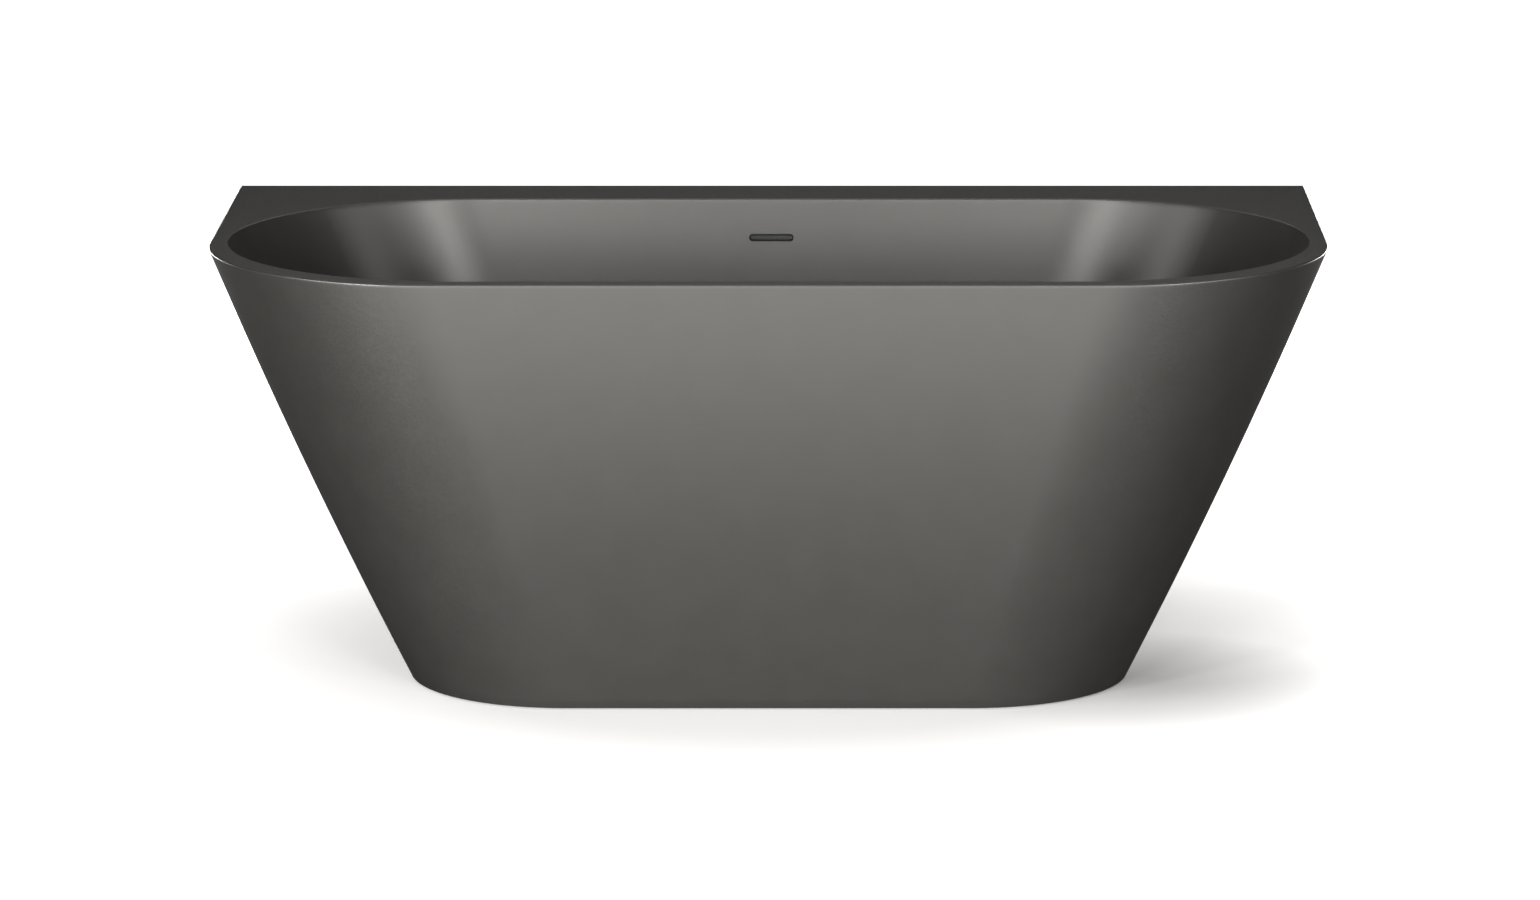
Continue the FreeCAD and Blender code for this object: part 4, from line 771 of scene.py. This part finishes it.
def make_trap():
    pot = [(0.021, 0.026), (0.0235, 0.026), (0.0235, 0.057), (0.043, 0.057), (0.043, 0.012), (0.046, 0.012),
           (0.046, 0.060), (0.0275, 0.060), (0.0275, 0.0678), (0.021, 0.0678)]
    turned("trap_pot", soften(pot, 0.002), "white_plastic", node="trap_body")
    at = (0, WASTE_Y, OUTLET_LEVEL)
    socket = [(0.0182, 0.0405), (0.025, 0.0405), (0.025, 0.070), (0.02005, 0.070), (0.02005, 0.050),
              (0.0182, 0.050)]
    turned("trap_socket", soften(socket, 0.0005), "white_plastic", at=at, facing=BACKWARD,
           node="trap_body")
    cap = [(0, 0.005), (0.047, 0.005), (0.047, 0.010), (0.0429, 0.010), (0.0429, 0.019), (0.0399, 0.019),
           (0.0399, 0.010), (0, 0.010)]
    turned("trap_access_cap", soften(cap, 0.0012), "white_plastic", grip=(24, 0.0012, 0.0455),
           node="trap_cap", smooth_below=50)
    nut = [(0.02755, 0.0634), (0.033, 0.0634), (0.033, 0.077), (0.030, 0.080), (0.02395, 0.080),
           (0.02395, 0.072), (0.02755, 0.072)]
    turned("trap_union_nut", soften(nut, 0.0009), "white_plastic", grip=(16, 0.0018, 0.0305),
           node="trap_nut", smooth_below=50)
    nut = [(0.02505, 0.058), (0.031, 0.058), (0.031, 0.080), (0.028, 0.083), (0.0203, 0.083),
           (0.0203, 0.0735), (0.02505, 0.0735)]
    turned("outlet_union_nut", soften(nut, 0.0009), "white_plastic", at=at, facing=BACKWARD,
           grip=(16, 0.0018, 0.0285), node="outlet_nut", smooth_below=50)
    end = 0.380 - WASTE_Y
    mark = 0.306 - WASTE_Y
    pipe = [(0.0182, 0.050), (0.020, 0.050), (0.020, mark), (0.0196, mark), (0.0196, mark + 0.002),
            (0.020, mark + 0.002), (0.020, end - 0.002), (0.019, end), (0.0182, end)]
    turned("waste_pipe", soften(pipe, 0.0004), "grey_plastic", at=at, facing=BACKWARD,
           node="outlet_pipe")


# ---------------------------------------------------------------- frame, boards and feet

TUBE_SIDE = 0.025
TUBE_WALL = 0.002
BOARD_LOW = UNDERSIDE - 0.015
TUBE_LEVEL = BOARD_LOW - TUBE_SIDE
TUBE_UNDER = TUBE_LEVEL - TUBE_SIDE
CROSSBAR_X = 0.330
RAIL_YS = (-0.150, 0.010)
FOOT_YS = (-0.235, 0.225)


def make_boards():
    front, back = -0.187, 0.112
    corners = [(-0.380, front), (0.380, front), (0.380, back), (0.060, back), (0.060, 0.035),
               (-0.060, 0.035), (-0.060, back), (-0.380, back)]
    outline = rounded_corners(corners, [0.050, 0.050, 0.050, 0, 0.004, 0.004, 0, 0.050], 12)
    planked("base_board", outline, BOARD_LOW, UNDERSIDE, 0.0012, "board_wood", node="baseboard")
    planked("rear_batten", rectangle(-0.600, 0.600, 0.300, 0.372), SEAM - 0.018, SEAM, 0.0015, "board_wood",
            node="deck_batten")


def make_frame():
    rail_middle = TUBE_LEVEL + TUBE_SIDE / 2
    bar_middle = TUBE_LEVEL - TUBE_SIDE / 2
    for name, y in zip(("front", "rear"), RAIL_YS):
        square_tube(f"{name}_tube", (0, y, rail_middle), -0.400, 0.400, ALONG_X, node=f"{name}_rail")
    for name, side in (("left", -1), ("right", 1)):
        square_tube(f"{name}_tube", (side * CROSSBAR_X, 0, bar_middle), -0.262, 0.252, ALONG_Y,
                    node=f"{name}_crossbar")
    head = rounded_corners(rectangle(-0.0125, 0.0125, -0.0125, 0.0125), [0.003] * 4)
    for side_name, side in (("left", -1), ("right", 1)):
        for row, y in zip(("front", "rear"), RAIL_YS):
            low, high = sorted((side * 0.400, side * 0.403))
            planked(f"plug_{row}_rail_{side_name}", head, low, high, 0.001, "black_plastic",
                    at=(0, y, rail_middle), facing=ALONG_X, node="tube_plugs")
        for row, low, high in (("front", -0.265, -0.262), ("rear", 0.252, 0.255)):
            planked(f"plug_{row}_bar_{side_name}", head, low, high, 0.001, "black_plastic",
                    at=(side * CROSSBAR_X, 0, bar_middle), facing=ALONG_Y, node="tube_plugs")


def bar_spots(ys):
    """Places on both crossbars at the given distances from front to back."""
    return [(side * CROSSBAR_X, y, 0) for y in ys for side in (-1, 1)]


def make_bolts():
    seat = TUBE_LEVEL + TUBE_WALL
    head = hexagon_profile(0, 0.013, TUBE_UNDER - 0.0053, TUBE_UNDER, 0.0006)
    nut = hexagon_profile(0.004, 0.013, seat, seat + 0.0068, 0.0006)
    for number, at in enumerate(bar_spots(RAIL_YS), start=1):
        turned(f"bolt_head_{number}", head, "zinc_steel", at=at, node="frame_bolts")
        threaded(f"bolt_shank_{number}", TUBE_UNDER, TUBE_LEVEL + 0.0128, 0.004, 0.00125, 0.0005,
                 "zinc_steel", at, node="frame_bolts")
        turned(f"bolt_nut_{number}", nut, "zinc_steel", at=at, node="frame_nuts")


def make_feet():
    pad = soften([(0, 0), (0.025, 0), (0.025, 0.006), (0.013, 0.014), (0.0051, 0.014), (0.0051, 0.005),
                  (0, 0.005)], 0.0013)
    for number, at in enumerate(bar_spots(FOOT_YS), start=1):
        turned(f"pad_{number}_foot", pad, "black_plastic", at=at, body=f"pad_{number}",
               grip=(24, 0.0006, 0.024), node=f"foot_pad_{number}", smooth_below=50)
        stud = f"stud_{number}"
        turned(f"{stud}_hexagon", hexagon_profile(0, 0.017, 0.0143, 0.0203, 0.0007), "zinc_steel", at=at,
               body=stud, node=f"foot_stud_{number}")
        turned(f"{stud}_pin", soften([(0, 0.0053), (0.0049, 0.0053), (0.0049, 0.0145), (0, 0.0145)], 0.0006),
               "zinc_steel", at=at, body=stud, node=f"foot_stud_{number}")
        threaded(f"{stud}_thread", 0.0203, 0.112, 0.006, 0.00175, 0.0008, "zinc_steel", at, body=stud,
                 node=f"foot_stud_{number}")
        for place_name, low in (("upper", TUBE_LEVEL), ("lower", TUBE_UNDER - 0.010)):
            nut = hexagon_profile(0.00605, 0.019, low, low + 0.010, 0.0009)
            turned(f"foot_nut_{number}_{place_name}", nut, "zinc_steel", at=at, node="foot_nuts")


# ---------------------------------------------------------------- materials

def new_material(name, color, roughness, metallic=0.0, **sockets):
    """A material with a colour, roughness and metallic value and other shader inputs given by name; the
    makers below add nodes in the object's own space for its colour, roughness and grain.
    """
    material = bpy.data.materials.new(name)
    material.use_nodes = True
    shader = material.node_tree.nodes["Principled BSDF"]
    shader.inputs["Base Color"].default_value = (*color, 1)
    shader.inputs["Roughness"].default_value = roughness
    shader.inputs["Metallic"].default_value = metallic
    for socket, number in sockets.items():
        shader.inputs[socket.replace("_", " ")].default_value = number
    return material


def dress(material, color, roughness, normal):
    """Joins the colour, roughness and relief to the shader."""
    shader = material.node_tree.nodes["Principled BSDF"]
    link(material, color, shader.inputs["Base Color"])
    link(material, roughness, shader.inputs["Roughness"])
    link(material, normal, shader.inputs["Normal"])
    return material


def add(material, kind, **values):
    """A new node of a kind, with its properties set by name."""
    node = material.node_tree.nodes.new(kind)
    for key, value in values.items():
        setattr(node, key, value)
    return node


def link(material, source, target):
    material.node_tree.links.new(source, target)


def place_coordinates(material, stretch=(1, 1, 1), shift=(0, 0, 0)):
    """The object's own coordinates, in metres, stretched along the axes and then shifted."""
    where = add(material, "ShaderNodeTexCoord")
    scale = add(material, "ShaderNodeMapping")
    scale.inputs["Scale"].default_value = stretch
    scale.inputs["Location"].default_value = shift
    link(material, where.outputs["Object"], scale.inputs["Vector"])
    return scale.outputs["Vector"]


def noise(material, size, detail=2.0, stretch=(1, 1, 1), roughness=0.5):
    """Noise with features about size metres across."""
    texture = add(material, "ShaderNodeTexNoise")
    texture.inputs["Scale"].default_value = 1 / size
    texture.inputs["Detail"].default_value = detail
    texture.inputs["Roughness"].default_value = roughness
    link(material, place_coordinates(material, stretch), texture.inputs["Vector"])
    return texture.outputs["Fac"]


def ramp(material, factor, low, high, start=0.3, end=0.7):
    """A colour ramp between two colours."""
    node = add(material, "ShaderNodeValToRGB")
    node.color_ramp.elements[0].position = start
    node.color_ramp.elements[0].color = (*low, 1)
    node.color_ramp.elements[1].position = end
    node.color_ramp.elements[1].color = (*high, 1)
    link(material, factor, node.inputs["Fac"])
    return node.outputs["Color"]


def between(material, factor, *limits):
    """Maps a factor to a range of numbers, given as from least, from most, to least and to most. With only
    the last two, the factor runs over the middle of a noise."""
    node = add(material, "ShaderNodeMapRange")
    if len(limits) == 2:
        limits = (0.3, 0.7, *limits)
    for socket, number in zip(("From Min", "From Max", "To Min", "To Max"), limits):
        node.inputs[socket].default_value = number
    link(material, factor, node.inputs["Value"])
    return node.outputs["Result"]


def bump(material, factor, height, below=None):
    """Relief of a height in metres, over another relief if one is given."""
    node = add(material, "ShaderNodeBump")
    node.inputs["Strength"].default_value = 1.0
    node.inputs["Distance"].default_value = height
    link(material, factor, node.inputs["Height"])
    if below is not None:
        link(material, below, node.inputs["Normal"])
    return node.outputs["Normal"]


def multiply(material, first, second):
    """One colour tinted by another."""
    node = add(material, "ShaderNodeMix", data_type="RGBA", blend_type="MULTIPLY")
    node.inputs[0].default_value = 1.0
    link(material, first, node.inputs[6])
    link(material, second, node.inputs[7])
    return node.outputs[2]


def surfaced(name, color, roughness, grain, relief, spread, speckle=0.0, shine=0.5):
    """A material with a cloudy and speckled colour, uneven gloss and a fine grain."""
    material = new_material(name, color, roughness, Specular_IOR_Level=shine)
    clouds = noise(material, 30 * grain, 3.0)
    fine = noise(material, grain)
    painted = ramp(material, clouds, [c * (1 - spread) for c in color], [c * (1 + spread) for c in color])
    if speckle:
        painted = multiply(material, painted, ramp(material, fine, (1 - speckle,) * 3, (1, 1, 1)))
    low, high = roughness * (0.9 - speckle), roughness * (1.1 + speckle)
    gloss = between(material, fine if speckle else clouds, low, high)
    return dress(material, painted, gloss, bump(material, fine, relief))


def wood(name, light, dark):
    """Sawn pine along X: growth bands that wander, fine fibres and a dry, uneven face."""
    material = new_material(name, light, 0.65, Specular_IOR_Level=0.35)
    bands = noise(material, 0.011, 3.0, (0.06, 1, 0.8))
    fibres = noise(material, 0.0011, 4.0, (0.03, 1, 1), 0.65)
    board = noise(material, 0.12, 1.0, (0.3, 1, 1))
    shade = [0.8 + 0.2 * mix(a, b, 0.5) for a, b in zip(light, dark)]
    painted = ramp(material, bands, dark, light, 0.38, 0.62)
    painted = multiply(material, painted, ramp(material, fibres, (0.72, 0.66, 0.6), (1, 1, 1), 0.35, 0.6))
    painted = multiply(material, painted, ramp(material, board, shade, (1, 1, 1)))
    relief = bump(material, fibres, 0.00009, below=bump(material, bands, 0.00012))
    return dress(material, painted, between(material, fibres, 0.55, 0.8), relief)


def plated(name, color, roughness, spangle, relief):
    """Plated metal: patches of differing brightness, dull clouds and pits."""
    material = new_material(name, color, roughness, 1.0)
    cells = add(material, "ShaderNodeTexVoronoi")
    cells.inputs["Scale"].default_value = 1 / spangle
    link(material, place_coordinates(material), cells.inputs["Vector"])
    grey = add(material, "ShaderNodeRGBToBW")
    link(material, cells.outputs["Color"], grey.inputs["Color"])
    dull = noise(material, 0.018, 3.0)
    pits = noise(material, 0.0006, 2.0, (1, 1, 0.15))
    painted = ramp(material, grey.outputs["Val"], [0.82 * c for c in color], color, 0.2, 0.8)
    painted = multiply(material, painted, ramp(material, dull, (0.75, 0.74, 0.72), (1, 1, 1)))
    gloss = between(material, dull, roughness * 0.75, roughness * 1.35)
    return dress(material, painted, gloss, bump(material, pits, relief))


def powder_coat(name, color):
    """Sprayed paint with an orange-peel face and a few dusty patches."""
    material = new_material(name, color, 0.42)
    peel = noise(material, 0.0014, 1.5)
    dust = noise(material, 0.045, 4.0)
    painted = ramp(material, dust, color, [mix(c, 0.2, 0.12) for c in color], 0.45, 0.75)
    return dress(material, painted, between(material, dust, 0.36, 0.56), bump(material, peel, 0.00003))


def moulded(name, color, roughness):
    """Injection-moulded plastic: spark-eroded grain and slow changes of gloss where it cooled."""
    material = new_material(name, color, roughness)
    grain = noise(material, 0.0005)
    flow = noise(material, 0.025)
    painted = ramp(material, flow, [0.9 * c for c in color], [1.08 * c for c in color])
    gloss = between(material, flow, roughness * 0.85, roughness * 1.15)
    return dress(material, painted, gloss, bump(material, grain, 0.000012))


def chrome(name):
    """Polished chrome over a cast body: very slight waviness and wiping marks."""
    material = new_material(name, (0.62, 0.62, 0.63), 0.1, 1.0)
    wiping = noise(material, 0.004, 3.0, (1, 0.2, 1))
    waves = noise(material, 0.012, 1.0)
    painted = ramp(material, wiping, (0.56, 0.56, 0.57), (0.66, 0.66, 0.67))
    return dress(material, painted, between(material, wiping, 0.07, 0.16), bump(material, waves, 0.00003))


TUB_COLOR = (0.0342, 0.0335, 0.0318)
RECIPES = {
    "tub_finish": (surfaced, TUB_COLOR, 0.36, 0.0016, 0.000022, 0.05, 0.06, 1.0),
    "board_wood": (wood, (0.47, 0.31, 0.16), (0.30, 0.17, 0.075)),
    "frame_steel": (powder_coat, (0.075, 0.082, 0.09)),
    "zinc_steel": (plated, (0.50, 0.51, 0.52), 0.34, 0.0035, 0.00002),
    "black_plastic": (moulded, (0.02, 0.02, 0.021), 0.5),
    "waste_chrome": (chrome,),
    "plug_finish": (surfaced, TUB_COLOR, 0.34, 0.0012, 0.000015, 0.05, 0.05, 1.0),
    "stem_brass": (plated, (0.55, 0.38, 0.14), 0.28, 0.002, 0.00001),
    "spring_steel": (plated, (0.5, 0.5, 0.5), 0.25, 0.001, 0.000005),
    "seal_rubber": (surfaced, (0.016, 0.016, 0.016), 0.72, 0.0007, 0.00003, 0.3),
    "white_plastic": (moulded, (0.72, 0.72, 0.70), 0.35),
    "grey_plastic": (moulded, (0.12, 0.125, 0.13), 0.42),
    "hose_plastic": (moulded, (0.03, 0.031, 0.033), 0.4),
}
MATERIALS = {slot: maker(slot, *given) for slot, (maker, *given) in RECIPES.items()}


def dress_cad_nodes():
    """Gives every CAD node the material of its slot."""
    for part in frame["record"]["subparts"]:
        node = NODES[part["node"]]
        node.data.materials.clear()
        node.data.materials.append(MATERIALS[part["material_slot"]])


# ---------------------------------------------------------------- floor, light and camera

CAMERA_PLACE = (0.101, -8.621, 2.091)
CAMERA_PITCH = 0.207
CAMERA_LENS = 151.3
CAMERA_SHIFT = -0.048


def make_camera():
    data = bpy.data.cameras.new("camera")
    data.sensor_width = 36
    data.lens = CAMERA_LENS
    data.shift_x = CAMERA_SHIFT
    camera = bpy.data.objects.new("camera", data)
    camera.location = CAMERA_PLACE
    camera.rotation_euler = (math.pi / 2 - CAMERA_PITCH, 0, 0)
    SCENE.collection.objects.link(camera)
    SCENE.camera = camera


def distance_ramp(material, stretch, shift, limits):
    """A number that changes with the distance from a spot on the floor."""
    distance = add(material, "ShaderNodeVectorMath", operation="LENGTH")
    link(material, place_coordinates(material, stretch, shift), distance.inputs[0])
    return between(material, distance.outputs["Value"], *limits)


def make_floor():
    """A white floor that takes the tub's cast shadow from the lamps. Its glow is painted shade: turned down
    near the tub, turned down most right of the base as a painted shadow where the shadow is deepest, and
    white further off."""
    size = 14.0
    mesh = bpy.data.meshes.new("floor")
    mesh.from_pydata([(x, y, 0) for x, y in rectangle(-size, size, -size, size)], [], [(0, 1, 2, 3)])
    floor = bpy.data.objects.new("floor", mesh)
    SCENE.collection.objects.link(floor)
    material = new_material("floor", (0.8, 0.8, 0.8), 0.9)
    shader = material.node_tree.nodes["Principled BSDF"]
    shader.inputs["Emission Color"].default_value = (1, 1, 1, 1)
    shader.inputs["Specular IOR Level"].default_value = 0.0
    # painted shade: the floor's glow is dimmer near the tub, as shade round the base
    glow_with_painted_shade = distance_ramp(material, (0.85, 0.85, 1.0), (0, 0, 0), FLOOR_GLOW_WITH_PAINTED_SHADE)
    # painted shadow: a dim patch of glow right of the base
    shadow = distance_ramp(material, (1.0, 1.0, 1.0), (-0.50, 0.17, 0), SHADOW_GLOW)
    glow = add(material, "ShaderNodeMath", operation="MULTIPLY")
    link(material, glow_with_painted_shade, glow.inputs[0])
    link(material, shadow, glow.inputs[1])
    link(material, glow.outputs["Value"], shader.inputs["Emission Strength"])
    mesh.materials.append(material)
    floor.visible_diffuse = False
    floor.visible_glossy = False


def make_world():
    world = bpy.data.worlds.new("studio")
    world.use_nodes = True
    background = world.node_tree.nodes["Background"]
    background.inputs["Color"].default_value = (1, 1, 1, 1)
    background.inputs["Strength"].default_value = 1.0
    world.cycles_visibility.diffuse = False
    world.cycles_visibility.glossy = False
    SCENE.world = world


# floor glow against the distance from the tub, dimmer near it as painted shade; and the dim patch right of
# the base as a painted shadow
FLOOR_GLOW_WITH_PAINTED_SHADE = (0.40, 0.95, 0.3, 1.0)
SHADOW_GLOW = (0.02, 0.28, 0.0, 1.0)
TARGET = Vector((0.0, 0.0, 0.3))
TALL_BOX = (1.0, 2.2)
LOW_BOX = (0.7, 1.0)


def around(azimuth, elevation):
    """A place five metres from the tub; azimuth 0 is straight in front, and a positive one to the right."""
    forward, sideways = heading(azimuth)
    level, up = heading(elevation)
    return TARGET + 5.0 * Vector((sideways * level, -forward * level, up))


def make_light(name, place, size, power):
    """A rectangular softbox that faces the tub."""
    data = bpy.data.lights.new(name, "AREA")
    data.shape = "RECTANGLE"
    data.size, data.size_y = size
    data.energy = power
    data.color = (1.0, 0.985, 0.955)
    light = bpy.data.objects.new(name, data)
    light.location = place
    light.rotation_euler = (TARGET - Vector(place)).to_track_quat("-Z", "Y").to_euler()
    light.visible_camera = False
    SCENE.collection.objects.link(light)


KEY_POWER = 74
SIDE_POWER = 25
LOW_POWER = 160
LOW_SIDE_POWER = 45
REAR_POWER = 40
LEFT_LEAD = 0.25


def make_lights():
    """Pairs of softboxes: two tall keys in front, two at the sides, low ones under the flare of the skirt,
    with the left of these stronger, and two behind that stay below the deck. Single ones fill in."""
    for name, side in (("left", -1), ("right", 1)):
        share = 1 - side * LEFT_LEAD
        make_light(f"key_{name}", around(side * 15, 18), TALL_BOX, KEY_POWER)
        make_light(f"side_{name}", around(side * 65, 18), TALL_BOX, SIDE_POWER * share)
        make_light(f"low_{name}", around(side * 40, 4), LOW_BOX, LOW_POWER * share)
        make_light(f"low_side_{name}", around(side * 60, 4), LOW_BOX, LOW_SIDE_POWER * share)
        make_light(f"rear_{name}", (side * 1.9, 2.3, 0.33), (1.6, 0.4), REAR_POWER)
    make_light("low_middle", (0, -3.0, 0.05), (3, 1), 27)
    make_light("rear_high", (0, 4.0, 3.5), (3, 2), 20)
    make_light("overhead", (0, 0.3, 4.5), (2, 2), 30)


def make_studio():
    SCENE.view_settings.view_transform = "Standard"
    make_world()
    make_floor()
    make_lights()
    make_camera()


dress_cad_nodes()
make_bowl()
make_skirt()
make_overflow_cover()
make_flange()
make_waste_rings()
make_banjo()
make_plug()
make_spring()
make_hose()
make_clips()
make_trap()
make_boards()
make_frame()
make_bolts()
make_feet()
make_studio()
